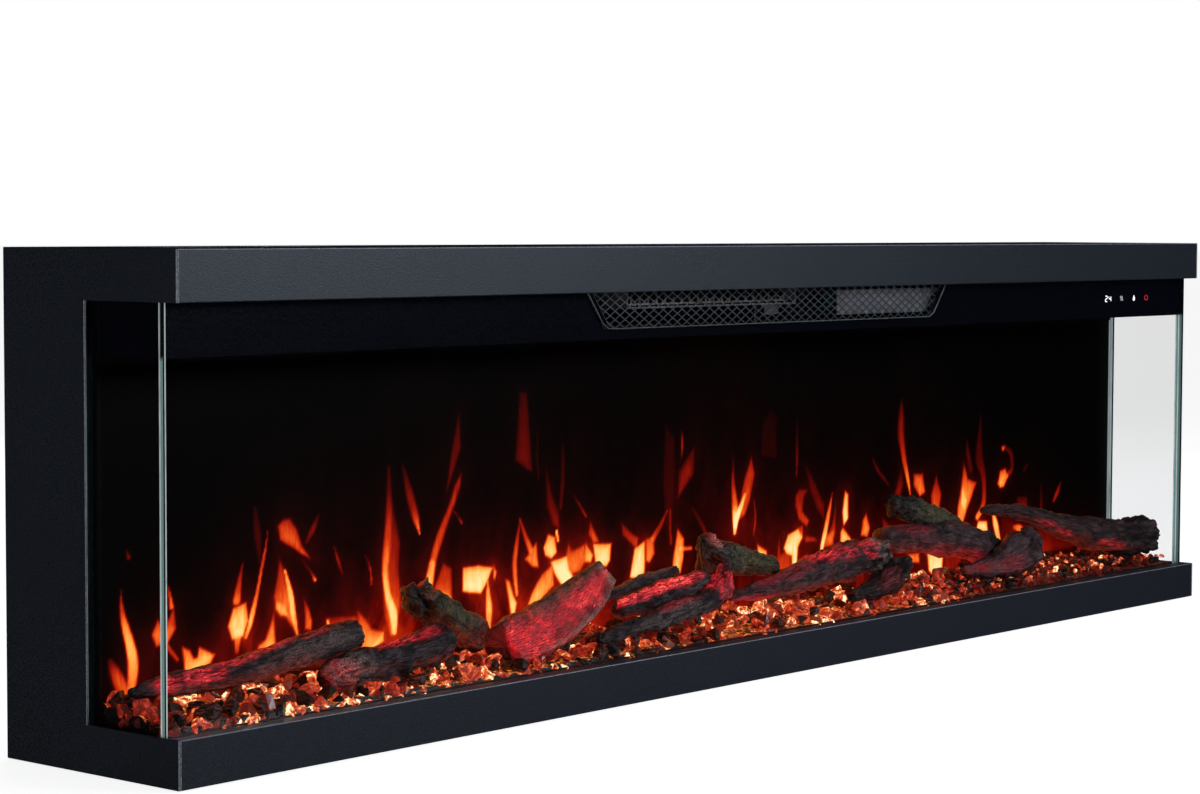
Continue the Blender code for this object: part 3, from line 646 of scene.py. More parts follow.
def ember_floor(name):
    """The crushed layer under the stones, glowing through its gaps."""
    look = Look(name)
    grit = look.noise(0.0035, 5, 0.7)
    gaps = look.ramp(look.cells(0.008, "DISTANCE_TO_EDGE"), (0.02, 1), (0.2, 0))
    look.set(Base_Color=look.ramp(grit, (0.35, (0.02, 0.008, 0.006)), (0.65, (0.22, 0.07, 0.03))))
    look.set(Roughness=look.ramp(grit, (0.3, 0.35), (0.7, 0.7)))
    hot = look.times(gaps, look.ramp(grit, (0.42, 0), (0.66, 1)))
    cooler = look.add(
        "MapRange",
        {"Value": look.axis("X"), "From Min": 0.22, "From Max": 0.42, "To Min": 1.0, "To Max": 0.12},
    )
    hot = look.times(hot, cooler.outputs[0])
    look.set(
        Emission_Color=look.ramp(
            hot, (0.0, (0.7, 0.04, 0.004)), (0.6, (1.0, 0.25, 0.03)), (1.0, (1.0, 0.6, 0.2))
        )
    )
    look.set(Emission_Strength=look.times(hot, 1.4))
    look.bump(grit, 0.0015, 0.9)
    return look.material


def flame_light(name):
    """The smoked screen lit from behind. The mesh's warmth goes from black through red to yellow white."""
    look = Look(name, Specular_IOR_Level=0.04)
    heat = look.attribute("warmth")
    fibre = look.noise((0.0045, 0.1, 0.024), 5, 0.65, distortion=0.8)
    smoke = look.noise((0.03, 0.1, 0.045), 4, 0.6, distortion=0.5)
    heat = look.times(heat, look.ramp(fibre, (0.28, 0.80), (0.72, 1.10)))
    haze = look.times(look.attribute("haze"), look.ramp(smoke, (0.25, 0.35), (0.75, 1.15)))
    total = look.maths("ADD", heat, haze)
    look.set(Base_Color=look.mix(smoke, (0.0002, 0.0002, 0.0002), (0.0006, 0.0003, 0.0003)))
    look.set(Roughness=look.ramp(fibre, (0.3, 0.42), (0.7, 0.55)))
    look.set(Emission_Color=look.ramp(
        look.maths("DIVIDE", total, 1.68),
        (0.0, (0.0, 0.0, 0.0)), (0.05, (0.007, 0.0003, 0.0001)), (0.13, (0.040, 0.0009, 0.0004)),
        (0.20, (0.105, 0.0018, 0.0007)),
        (0.28, (0.30, 0.007, 0.0018)), (0.38, (0.58, 0.028, 0.003)), (0.50, (0.94, 0.125, 0.012)),
        (0.62, (1.0, 0.31, 0.042)),
        (0.78, (1.0, 0.58, 0.135)), (1.0, (1.0, 0.84, 0.40)),
    ))
    look.set(Emission_Strength=1.12)
    look.bump(look.noise(0.0009, 2), 0.00003, 0.3)
    return look.material


FINISHES = {
    "body_paint": lambda: powder_coat("body_paint_coat", (0.0058, 0.0072, 0.0105)),
    "inner_paint": lambda: matt_paint("inner_paint_matt", (0.0012, 0.0012, 0.0014)),
    "galvanised": lambda: zinc("zinc_sheet", (0.225, 0.23, 0.25)),
    "tray_acrylic": lambda: moulded("amber_tray", (0.030, 0.012, 0.008), 0.35),
    "led_board": lambda: led_strip("led_strip_lit", (0.74, 0.75, 0.72)),
    "circuit_board": lambda: circuit("solder_mask", (0.02, 0.13, 0.06)),
    "reflector": lambda: drawn_metal("bright_reflector", (0.86, 0.86, 0.84), 0.16),
    "shaft_steel": lambda: drawn_metal("drawn_bar", (0.6, 0.6, 0.61), 0.28),
    "nylon": lambda: moulded("black_nylon", (0.030, 0.030, 0.033), 0.5),
    "black_plastic": lambda: moulded("moulded_black", (0.012, 0.012, 0.0135), 0.42),
    "motor_steel": lambda: drawn_metal("laminated_steel", (0.36, 0.37, 0.39), 0.42, along=1),
    "copper_winding": lambda: windings("copper_wire", (0.72, 0.30, 0.13)),
    "heater_fins": lambda: burnt_fins("heated_fins", (0.30, 0.28, 0.27)),
    "mesh_steel": lambda: powder_coat("mesh_coat", (0.019, 0.021, 0.027), 0.40, 0.0008),
}
LOOKS = {slot: make() for slot, make in FINISHES.items()}
GLASS = clear_glass()
EDGE = glass_edge()
INK = powder_coat("printed_band", (0.0010, 0.0012, 0.0026), 0.30, 0.002, shine=0.03)
# Painted highlight: a light grey of the body paint, for rounded casing edges that face the front and up or to
# a side.
EDGE_HIGHLIGHT = powder_coat("body_paint_arris", (0.10, 0.106, 0.12), 0.34)
GLINT = glass_arris()
MATT_TOP = powder_coat("body_paint_matt", (0.0058, 0.0072, 0.0105), 0.6, shine=0.0)


def dress_frame():
    """Every CAD node gets the finish of its slot."""
    for node in nodes.values():
        slot = node.data.materials[0].name.split(".")[0]
        if slot in LOOKS:
            node.data.materials[0] = LOOKS[slot]


# ---------------------------------------------------------------- casing, glass and the band

def casing():
    """The casing's sheets. Their upward faces at the top have a matt coat, and their rounded edges that face
    the front and up or to a side carry a painted highlight.
    """
    def top(face):
        return 2 if face.normal.z > 0.9 and face.calc_center_median().z > TOP - 0.01 else 0

    for node, name, radius in [
        ("left_side_plate", "casing_left_plate", 0.0006),
        ("right_side_plate", "casing_right_plate", 0.0006),
        ("header_fascia", "casing_header", 0.0007),
        ("base_tray", "casing_base", 0.0007),
        ("top_panel", "casing_top", 0.0004),
        ("back_panel", "casing_back", 0.0004),
    ]:
        refined(
            node, name, radius, LOOKS["body_paint"], EDGE_HIGHLIGHT, MATT_TOP, slot="body_paint", choose=top,
            arris=1, lit_only=True
        )


def screw_head(centre, normal, radius=0.0034, rise=0.0011):
    """A pan head with a six-lobed socket, turned to face along normal."""
    bm = bmesh.new()
    turn = np.linspace(0, 2 * math.pi, 36, endpoint=False)
    lobes = 0.52 + 0.09 * np.cos(6 * turn)
    rings = [(radius, 0.0), (radius, 0.35 * rise), (radius * 0.93, 0.75 * rise), (radius * 0.75, rise)]
    loops = [[(r * math.cos(t), r * math.sin(t), h) for t in turn] for r, h in rings]
    for h in (rise, rise * 0.15):
        loops.append([(radius * k * math.cos(t), radius * k * math.sin(t), h) for k, t in zip(lobes, turn)])
    verts = [[bm.verts.new(p) for p in loop] for loop in loops]
    for low, high in zip(verts, verts[1:]):
        for k in range(len(turn)):
            bm.faces.new([low[k], low[(k + 1) % len(turn)], high[(k + 1) % len(turn)], high[k]])
    bm.faces.new(verts[-1])
    bm.faces.new(verts[0][::-1])
    bmesh.ops.recalc_face_normals(bm, faces=bm.faces)
    spin = Vector((0, 0, 1)).rotation_difference(Vector(normal)).to_matrix().to_4x4()
    bmesh.ops.transform(bm, matrix=Matrix.Translation(centre) @ spin, verts=bm.verts)
    for face in bm.faces:
        face.smooth = len(face.verts) == 4
    return bm


def screws():
    """Screws of the back panel: a row along its foot and one along its top, and two up each side."""
    places = [(x, z) for x in np.linspace(-0.735, 0.735, 8) for z in (0.012, TOP - 0.009)]
    places += [(side * 0.750, z) for side in (-1, 1) for z in (0.13, 0.30)]
    heads = [screw_head((x, BACK - 0.0002, z), (0, 1, 0)) for x, z in places]
    piece_from("casing_screws", joined(heads), powder_coat("screw_black", (0.02, 0.02, 0.022), 0.3, 0.0006))


def panes():
    """The three panes with their ground edges."""
    def front(face):
        return 0 if abs(face.normal.y) > 0.9 else 1

    def side(face):
        return 0 if abs(face.normal.x) > 0.9 else 1

    glass = {"slot": "clear_glass"}
    refined("front_glass", "pane_front", 0.0007, GLASS, EDGE, GLINT, choose=front, arris=2, **glass)
    refined("left_glass", "pane_left", 0.0007, GLASS, EDGE, GLINT, choose=side, arris=2, **glass)
    refined("right_glass", "pane_right", 0.0007, GLASS, EDGE, GLINT, choose=side, arris=2, **glass)


def band():
    """The black print inside the top of the panes, with the notch left clear."""
    front_pane, left_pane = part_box("front_glass"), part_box("left_glass")
    y = front_pane[1].y + 0.0001
    end, clear = front_pane[1].x - 0.0004, 0.002
    notch = [
        (NOTCH_HALF_TOP + clear, NOTCH_TOP), (NOTCH_HALF_LOW + clear, NOTCH_LOW - clear),
        (-NOTCH_HALF_LOW - clear, NOTCH_LOW - clear), (-NOTCH_HALF_TOP - clear, NOTCH_TOP),
    ]
    outline = [(-end, NOTCH_TOP), (-end, BAND_LOW), (end, BAND_LOW), (end, NOTCH_TOP), *notch]
    piece_from("band_front", slab(outline, "xz", y, y + PRINT), INK, slot="clear_glass")
    near, far, low = left_pane[0].y, left_pane[1].y, left_pane[0].z
    side = [
        (near, BAND_LOW), (far - BORDER, BAND_LOW), (far - BORDER, low), (far, low), (far, NOTCH_TOP),
        (near, NOTCH_TOP),
    ]
    for name, x in (("band_left", -PRINT_X), ("band_right", PRINT_X)):
        piece_from(name, slab(side, "yz", x - PRINT / 2, x + PRINT / 2), INK, slot="clear_glass")


def seals():
    """Glazing beads where the flame screen meets the side panes: a black one on the left, and a wider
    grey-green one on the right, whose glow is painted light."""
    look = Look("glazing_bead_painted_glow", Coat_Weight=0.4)
    flow = look.noise((0.02, 0.0012, 0.05), 4)
    look.set(Base_Color=look.ramp(flow, (0.3, (0.10, 0.135, 0.14)), (0.7, (0.26, 0.33, 0.335))))
    # Painted light: the right bead glows with a pale grey-green emission, though it is no lamp.
    look.set(
        Emission_Color=(0.36, 0.42, 0.43, 1), Emission_Strength=look.ramp(flow, (0.3, 0.35), (0.7, 0.75))
    )
    look.set(Roughness=look.ramp(flow, (0.3, 0.25), (0.7, 0.5)))
    look.bump(flow, 0.0001, 0.5)
    low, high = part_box("left_glass")[1].y - BORDER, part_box("flame_screen")[0].y - 0.0001
    for name, finish, near, start, end in (
        ("bead_left", INK, low + 0.0012, -PRINT_X + 0.0001, -PRINT_X + 0.0006),
        ("bead_right", look.material, low + 0.0014, PRINT_X - 0.0035, PRINT_X - 0.0001),
    ):
        strip = [(near, 0.040), (high, 0.040), (high, BAND_LOW), (near, BAND_LOW)]
        piece_from(name, slab(strip, "yz", start, end), finish, slot="clear_glass")


def grille():
    """Expanded metal behind the notch: rows of diamonds, with flattened strands."""
    low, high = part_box("vent_grille")
    wide, tall, strand = 0.0134, 0.0076, 0.00080
    bm = bmesh.new()
    corners = {}

    def corner(x, z):
        key = (round(x / MM, 2), round(z / MM, 2))
        if key not in corners:
            corners[key] = bm.verts.new((x, low.y, z))
        return corners[key]

    rows = int((high.z - low.z) / (tall / 2)) - 1
    for row in range(rows):
        z = low.z + tall / 2 * (row + 1)
        for x in np.arange(low.x + wide * (1 + row % 2) / 2, high.x - wide / 2 + 1e-6, wide):
            bm.faces.new(
                [
                    corner(x - wide / 2, z), corner(x, z - tall / 2), corner(x + wide / 2, z),
                    corner(x, z + tall / 2),
                ]
            )
    cells = list(bm.faces)
    bm.normal_update()
    bmesh.ops.inset_individual(bm, faces=cells, thickness=strand / 2, use_even_offset=True)
    bmesh.ops.delete(bm, geom=cells, context="FACES_ONLY")
    bm.normal_update()
    bmesh.ops.solidify(bm, geom=bm.faces, thickness=0.0008)
    bmesh.ops.translate(bm, vec=(0, low.y - min(v.co.y for v in bm.verts), 0), verts=bm.verts)
    bmesh.ops.recalc_face_normals(bm, faces=bm.faces)
    piece_from("outlet_mesh", bm, LOOKS["mesh_steel"], slot="mesh_steel", replaces=["vent_grille"])


def stroke(points, width, y, thick=0.00008):
    """A flat line through (x, z) points, with mitred corners."""
    bm = bmesh.new()
    pts = [Vector(p) for p in points]
    sides = []
    for k, p in enumerate(pts):
        before, after = pts[max(k - 1, 0)], pts[min(k + 1, len(pts) - 1)]
        along = (after - before).normalized()
        across = Vector((-along.y, along.x)) * width / 2
        sides.append(
            [
                bm.verts.new((p.x + s * across.x, y + d, p.y + s * across.y))
                for s, d in ((1, 0), (-1, 0), (-1, thick), (1, thick))
            ]
        )
    for a, b in zip(sides, sides[1:]):
        for k in range(4):
            bm.faces.new([a[k], a[(k + 1) % 4], b[(k + 1) % 4], b[k]])
    bm.faces.new(sides[0][::-1])
    bm.faces.new(sides[-1])
    bmesh.ops.recalc_face_normals(bm, faces=bm.faces)
    return bm


def figure(x, digit, y):
    """The lit bars of one seven-segment figure."""
    top, low = SYMBOLS_Z + FIGURE_TALL / 2, SYMBOLS_Z - FIGURE_TALL / 2
    left, right, gap = x - FIGURE_HALF, x + FIGURE_HALF, 0.00055
    bars = {
        "a": [(left + gap, top), (right - gap, top)],
        "b": [(right, top - gap), (right, SYMBOLS_Z + gap)],
        "c": [(right, SYMBOLS_Z - gap), (right, low + gap)],
        "d": [(left + gap, low), (right - gap, low)],
        "e": [(left, SYMBOLS_Z - gap), (left, low + gap)],
        "f": [(left, top - gap), (left, SYMBOLS_Z + gap)],
        "g": [(left + gap, SYMBOLS_Z), (right - gap, SYMBOLS_Z)],
    }
    return [stroke(bars[letter], 0.00065, y) for letter in SEVEN[digit]]


def wave(x, y):
    """One upright wave of warm air."""
    steps = np.linspace(0, 1, 13)
    tall = 0.9 * FIGURE_TALL
    return stroke(
        [(x + 0.0006 * math.sin(t * 2 * math.pi), SYMBOLS_Z + tall * (t - 0.5)) for t in steps], 0.0005, y
    )


def flame_symbol(x, y):
    """A loop pinched towards its drawn-up tip."""
    loop = []
    for t in np.linspace(0, 2 * math.pi, 33):
        lower = math.cos(t)
        pinch = 0.55 + 0.45 * lower if lower < 0 else 1.0
        tip = 0.0008 if lower < -0.9 else 0
        loop.append((x + 0.0019 * math.sin(t) * pinch, SYMBOLS_Z - 0.0004 - 0.0021 * lower + tip))
    return stroke(loop, 0.0012, y)


def power_symbol(x, y):
    """A ring open at the top, with a bar in its gap."""
    turns = np.linspace(0.5, 2 * math.pi - 0.5, 25)
    ring = [(x + 0.0036 * math.sin(t), SYMBOLS_Z + 0.0027 * math.cos(t)) for t in turns]
    bar = [(x, SYMBOLS_Z + 0.0020), (x, SYMBOLS_Z + 0.0034)]
    return [stroke(ring, 0.0005, y), stroke(bar, 0.0005, y)]


def display():
    """The lit readout and the three touch symbols: two figures, waves, a flame and a power ring."""
    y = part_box("front_glass")[1].y + 0.00001
    white, red = (0.86, 0.93, 1.0), (0.80, 0.035, 0.05)
    digits = [bar for digit, x in FIGURES for bar in figure(x, digit, y)]
    waves = [wave(WAVES_X + shift, y) for shift in (-0.0020, 0, 0.0020)]
    for name, strokes, light, colour, strength in (
        ("display_digits", digits, "display_digits_light", white, 3.2),
        ("display_waves", waves, "display_waves_light", white, 0.45),
        ("display_flame", [flame_symbol(FLAME_X, y)], "display_flame_light", white, 1.3),
        ("display_power", power_symbol(POWER_X, y), "symbol_red", red, 1.3),
    ):
        piece_from(name, joined(strokes), glow(light, colour, strength), slot="clear_glass")


# ---------------------------------------------------------------- the flame picture

# Each streak is a spine of (x, z, half width, heat), in millimetres, from one end to the other.
STREAKS = [
    [
        (-728, 138, 0.8, .4), (-726, 122, 3, .6), (-722, 108, 4.5, .95), (-717, 92, 5.5, 1.15),
        (-715, 78, 6, .95), (-717, 60, 5, .7),
    ],
    [(-738, 84, 3, .25), (-733, 74, 6, .5), (-727, 62, 7, .6), (-722, 50, 6, .5)],
    [(-721, 170, 1, .25), (-719, 164, 2.5, .35)],
    [(-678, 136, 1.2, .5), (-676, 121, 3, .65)],
    [(-686, 96, 3, .5), (-670, 77, 2, .4)],
    [(-600, 150, 0.8, .3), (-604, 134, 3, .45), (-607, 119, 5, .65)],
    [(-606, 92, 5, .7), (-607, 77, 2, .35)],
    [(-573, 172, 0.8, .35), (-578, 150, 2, .6), (-584, 125, 2.3, .6), (-590, 103, 3, .85), (-597, 88, 2, .6)],
    [(-586, 192, 2, .12), (-584, 170, 4, .2), (-582, 148, 2, .12)],
    [(-553, 138, 1.4, .9), (-547, 118, 3, 1.05), (-543, 98, 3, .85), (-539, 80, 1, .5)],
    [(-515, 183, 1, .15), (-522, 170, 3.5, .28), (-529, 160, 2, .2)],
    [(-534, 145, 1, .2), (-524, 134, 1.3, .35), (-520, 128, 2, .9)],
    [(-497, 153, 1, .35), (-492, 140, 2.2, .35), (-487, 128, 1, .2)],
    [(-505, 92, 1.5, .8), (-504, 86, 2.5, .9)],
    [(-461, 143, 1, .15), (-455, 132, 1.6, .35), (-454, 118, 1.4, .4)],
    [
        (-433, 215, 2, .18), (-433, 185, 4, .3), (-434, 150, 5, .5), (-437, 128, 4, .7),
        (-434, 106, 4, 1.0), (-428, 90, 5, 1.15), (-427, 74, 3, .8),
    ],
    [(-415, 216, 2, .12), (-409, 195, 4.5, .32), (-402, 174, 5, .45), (-396, 156, 1, .9)],
    [(-380, 128, 5, .7), (-384, 112, 5, .9), (-387, 92, 4, .8)],
    [(-352, 172, 0.8, .3), (-343, 161, 1.4, .5)],
    [(-309, 106, 1.2, .5), (-308, 85, 4.5, .75), (-308, 66, 3.5, .6)],
    [(-266, 159, 0.8, .3), (-270, 140, 3, .45), (-274, 118, 3.5, .55), (-271, 92, 2, .5)],
    [(-243, 240, 0.8, .08), (-243, 210, 1.4, .13), (-241, 190, 1, .1)],
    [(-267, 159, 1, .4), (-260, 145, 3, .45), (-252, 130, 4, .6)],
    [(-208, 222, 2, .08), (-209, 195, 3, .16), (-212, 165, 2, .2)],
    [(-217, 144, 2, 1.0), (-215, 136, 2, .8)],
    [(-194, 176, 0.8, .2), (-184, 164, 1.4, .35), (-176, 155, 1.2, .45)],
    [(-58, 152, 1.5, .3), (-68, 138, 3.5, .35), (-79, 126, 4, .45)],
    [(-53, 152, 2, .3), (-52, 120, 2, .3)],
    [(-37, 227, 1, .22), (-36, 212, 2.2, .4), (-37, 200, 1.0, .25)],
    [(-38, 114, 2.2, .6), (-22, 113, 2.2, .6)],
    [(-20, 150, 2, .12), (-8, 137, 3, .2), (2, 124, 3, .25)],
    [(43, 197, 0.8, .15), (43, 172, 3, .38), (46, 150, 5, .7), (47, 132, 4, 1.35), (46, 121, 2, 1.0)],
    [(62, 158, 2, .8), (53, 142, 3.5, 1.3), (47, 128, 2.5, 1.4)],
    [(77, 151, 1.5, .25), (80, 135, 1.6, .3), (77, 118, 1.5, .25)],
    [(147, 232, 1, .06), (147, 210, 1.8, .18), (148, 190, 2.4, .3), (147, 172, 1.2, .35)],
    [(208, 150, 1, .5), (203, 132, 3.2, .65), (198, 116, 4, .8), (192, 100, 3.5, 1.15), (188, 88, 2, 1.0)],
    [(278, 182, 1, .12), (287, 170, 2.4, .25), (298, 160, 2.4, .25), (308, 151, 1.2, .2)],
    [
        (331, 240, 1.5, .12), (330, 225, 5, .3), (330, 206, 6.5, .38), (334, 188, 5.5, .45),
        (339, 168, 4.2, .65), (344, 152, 3.4, .8), (348, 138, 1.5, .6),
    ],
    [(455, 192, 1, .12), (459, 175, 4, .22), (463, 158, 4, .2)],
    [
        (482, 216, 1.5, .1), (480, 190, 5, .2), (480, 168, 8, .24), (487, 152, 6, .28), (490, 135, 5, .35),
        (489, 118, 5, .5), (478, 105, 4, .75),
    ],
    [(527, 177, 3.5, .7), (533, 178, 3, .3), (544, 170, 4, .28), (546, 155, 4, .26), (538, 147, 4, .4)],
    [(511, 104, 3.5, .9), (516, 90, 5.5, 1.15), (523, 73, 4, .9)],
    [(552, 88, 3, .5), (562, 86, 5, .75), (572, 84, 2, .5)],
    [(572, 150, 3, .15), (577, 155, 2, .15)],
    [(608, 130, 2, .1), (608, 104, 3, .25)],
    [(649, 133, 1, .25), (642, 121, 4, .42), (634, 112, 2.5, .4)],
]
# Each shard is a straight-sided patch of light: its heat, then its corners as (x, z) in millimetres.
SHARDS = [
    (.80, [(-696, 100), (-690, 112), (-683, 107), (-673, 121), (-671, 103), (-680, 92), (-692, 90)]),
    (
        1.15,
        [
            (-665, 87), (-657, 84), (-653, 77), (-649, 77), (-647, 86), (-630, 78), (-635, 71), (-650, 64),
            (-663, 66),
        ],
    ),
    (1.25, [(-611, 113), (-596, 116), (-594, 101), (-600, 89), (-612, 88), (-617, 99)]),
    (
        .62,
        [
            (-560, 149), (-553, 138), (-545, 120), (-541, 100), (-539, 80), (-546, 92), (-553, 101),
            (-562, 106), (-566, 118), (-563, 132),
        ],
    ),
    (1.0, [(-564, 114), (-553, 110), (-549, 100), (-558, 101), (-564, 107)]),
    (.85, [(-566, 104), (-564, 78), (-571, 74), (-585, 76), (-583, 80), (-575, 84)]),
    (
        .74,
        [
            (-562, 176), (-555, 181), (-547, 181), (-540, 172), (-534, 157), (-525, 145), (-535, 150),
            (-547, 158), (-559, 164),
        ],
    ),
    (.72, [(-533, 113), (-527, 104), (-523, 94), (-524, 86), (-531, 88)]),
    (.36, [(-508, 96), (-470, 92), (-472, 80), (-506, 80)]),
    (.62, [(-471, 97), (-461, 88), (-455, 80), (-439, 75), (-440, 68), (-456, 62), (-466, 62), (-469, 76)]),
    (.95, [(-456, 65), (-440, 75), (-439, 68), (-450, 63)]),
    (
        .42,
        [
            (-430, 190), (-424, 168), (-419, 150), (-421, 128), (-419, 98), (-424, 78), (-431, 70),
            (-438, 88), (-440, 112), (-441, 140), (-438, 160),
        ],
    ),
    (
        .66,
        [
            (-343, 205), (-344, 194), (-357, 168), (-368, 144), (-381, 116), (-383, 132), (-373, 155),
            (-360, 178), (-351, 196),
        ],
    ),
    (.38, [(-347, 258), (-344, 228), (-350, 212), (-362, 191), (-356, 222), (-352, 240)]),
    (.55, [(-378, 108), (-366, 129), (-355, 122), (-354, 92), (-362, 94), (-372, 100)]),
    (1.1, [(-376, 101), (-366, 104), (-355, 97), (-355, 90), (-363, 94)]),
    (1.38, [(-341, 121), (-322, 122), (-302, 118), (-309, 107), (-318, 97), (-333, 99), (-341, 101)]),
    (1.15, [(-301, 120), (-297, 114), (-299, 107), (-301, 109)]),
    (1.2, [(-286, 107), (-280, 104), (-276, 92), (-271, 84), (-274, 73), (-279, 75), (-282, 92)]),
    (.30, [(-268, 273), (-258, 273), (-250, 201), (-258, 203), (-273, 212), (-270, 245)]),
    (.80, [(-260, 122), (-244, 137), (-241, 114), (-250, 115)]),
    (.30, [(-233, 206), (-224, 178), (-214, 160), (-213, 146), (-222, 150), (-230, 166)]),
    (1.28, [(-235, 130), (-229, 143), (-219, 140), (-217, 125), (-224, 120), (-232, 123)]),
    (.85, [(-222, 114), (-236, 108), (-250, 92), (-257, 79), (-240, 82), (-220, 95)]),
    (1.5, [(-225, 117), (-203, 120), (-200, 108), (-191, 97), (-209, 94), (-219, 105)]),
    (.58, [(-207, 112), (-201, 132), (-196, 124), (-178, 129), (-176, 116), (-185, 105), (-196, 103)]),
    (1.0, [(-177, 130), (-166, 118), (-169, 112), (-178, 113)]),
    (1.38, [(-166, 128), (-140, 127), (-142, 110), (-147, 105), (-162, 109)]),
    (.62, [(-170, 151), (-157, 129), (-166, 129), (-172, 138)]),
    (.45, [(-126, 145), (-101, 128), (-104, 119), (-124, 132)]),
    (1.45, [(-107, 119), (-91, 124), (-92, 95), (-104, 90), (-113, 92)]),
    (.80, [(-90, 126), (-78, 129), (-76, 112), (-84, 104), (-90, 106)]),
    (.14, [(-62, 235), (-47, 218), (-48, 160), (-53, 120), (-60, 140), (-65, 180)]),
    (1.05, [(-42, 133), (-32, 122), (-33, 106), (-38, 90), (-50, 92), (-48, 108)]),
    (.36, [(-18, 210), (-19, 184), (-42, 162), (-40, 188), (-28, 200)]),
    (
        .60,
        [(72, 196), (78, 178), (70, 152), (62, 138), (52, 133), (48, 120), (45, 140), (55, 155), (62, 176)],
    ),
    (1.15, [(83, 108), (98, 100), (99, 92), (84, 96)]),
    (.09, [(89, 225), (103, 241), (115, 232), (114, 190), (88, 195)]),
    (
        .48,
        [
            (145, 151), (153, 158), (166, 156), (160, 148), (158, 135), (169, 125), (164, 119), (151, 128),
            (145, 140),
        ],
    ),
    (.28, [(162, 182), (175, 166), (195, 139), (194, 124), (184, 132), (170, 155)]),
    (
        1.5,
        [
            (127, 100), (134, 113), (150, 118), (157, 108), (150, 99), (147, 75), (141, 75), (140, 92),
            (131, 95),
        ],
    ),
    (.62, [(150, 119), (158, 122), (158, 106), (152, 104)]),
    (.45, [(160, 109), (178, 108), (182, 103), (162, 102)]),
    (.42, [(112, 80), (118, 112), (122, 95), (136, 98), (139, 76), (115, 72)]),
    (.80, [(152, 86), (165, 90), (166, 77), (153, 73)]),
    (.62, [(196, 118), (202, 108), (212, 112), (210, 96), (196, 94), (186, 86), (188, 100)]),
    (.42, [(216, 141), (214, 106), (204, 95), (199, 105), (208, 118)]),
    (1.4, [(230, 151), (236, 146), (236, 122), (229, 115), (226, 130)]),
    (1.2, [(223, 108), (227, 113), (241, 101), (242, 98), (223, 97)]),
    (.82, [(262, 118), (269, 125), (275, 108), (271, 99), (259, 102)]),
    (.36, [(318, 140), (331, 168), (335, 150), (328, 135)]),
    (.80, [(353, 160), (372, 160), (377, 139), (366, 135), (354, 148)]),
    (.32, [(296, 118), (310, 110), (330, 104), (332, 96), (300, 98)]),
    (.80, [(343, 75), (365, 76), (366, 65), (348, 66)]),
    (.58, [(397, 157), (407, 135), (404, 117), (389, 117), (387, 135)]),
    (1.5, [(380, 76), (413, 75), (409, 50), (395, 47), (384, 55)]),
    (.55, [(420, 82), (436, 79), (436, 72), (420, 73)]),
    (
        .80,
        [
            (450, 166), (458, 148), (475, 143), (468, 132), (458, 115), (450, 101), (437, 102), (438, 118),
            (445, 141),
        ],
    ),
    (1.15, [(448, 142), (457, 125), (452, 113), (444, 122)]),
    (1.5, [(476, 92), (480, 101), (497, 99), (499, 86)]),
    (1.05, [(517, 139), (522, 153), (533, 155), (539, 145), (530, 134), (522, 133)]),
    (.32, [(557, 121), (578, 120), (580, 108), (560, 106)]),
    (.26, [(524, 104), (585, 86), (580, 64), (526, 66)]),
    (.24, [(600, 84), (690, 74), (700, 56), (600, 52)]),
    (.24, [(415, 74), (446, 72), (446, 50), (415, 48)]),
]
# The dim red haze behind them, as (x, how high it reaches, strength), also in millimetres.
HAZE = [
    (-754, 90, .20), (-700, 110, .34), (-640, 115, .44), (-560, 150, .56), (-470, 160, .56),
    (-380, 185, .56), (-300, 175, .56), (-220, 180, .60),
    (-140, 170, .56), (-40, 215, .52), (60, 210, .48), (150, 190, .46), (230, 165, .44), (330, 190, .42),
    (430, 165, .42), (520, 140, .40),
    (600, 120, .30), (680, 95, .20), (754, 75, .06),
]


def shard_light(px, pz, heat, corners):
    """A straight-sided patch: a crisp rim, hotter inside and towards its foot."""
    away = np.full(len(px), 1e9)
    inside = np.zeros(len(px), bool)
    for (ax, az), (bx, bz) in zip(corners, corners[1:] + corners[:1]):
        run, rise = bx - ax, bz - az
        share = np.clip(((px - ax) * run + (pz - az) * rise) / (run * run + rise * rise), 0, 1)
        away = np.minimum(away, np.hypot(px - ax - share * run, pz - az - share * rise))
        crosses = (az > pz) != (bz > pz)
        inside ^= crosses & (px < ax + run * (pz - az) / (rise if rise else 1e-9))
    inward = np.where(inside, away, -away)
    low, high = min(z for _, z in corners), max(z for _, z in corners)
    foot = 1.08 - 0.36 * np.clip((pz - low) / (high - low), 0, 1)
    core = heat * smooth(-1.7, 2.0, inward) * (0.74 + 0.26 * smooth(0, 7, inward)) * foot
    return core, 0.10 * heat * np.exp(-((np.maximum(-inward, 0) / 9) ** 1.2))


def streak_light(px, pz, spine):
    """A curved streak, hottest along its spine."""
    best = np.full(len(px), 1e9)
    heat = np.zeros(len(px))
    for cx, _, cz, width, warmth in spline([(a, 0, b, w, h) for a, b, w, h in spine], 2.0):
        away = np.hypot(px - cx, pz - cz) / max(width, 0.6)
        closer = away < best
        best[closer] = away[closer]
        heat[closer] = warmth
    core = heat * (1 - smooth(0.60, 1.28, best)) * (1.08 - 0.46 * np.minimum(best, 1) ** 2)
    return core, 0.07 * heat * np.exp(-((best / 2.6) ** 2))


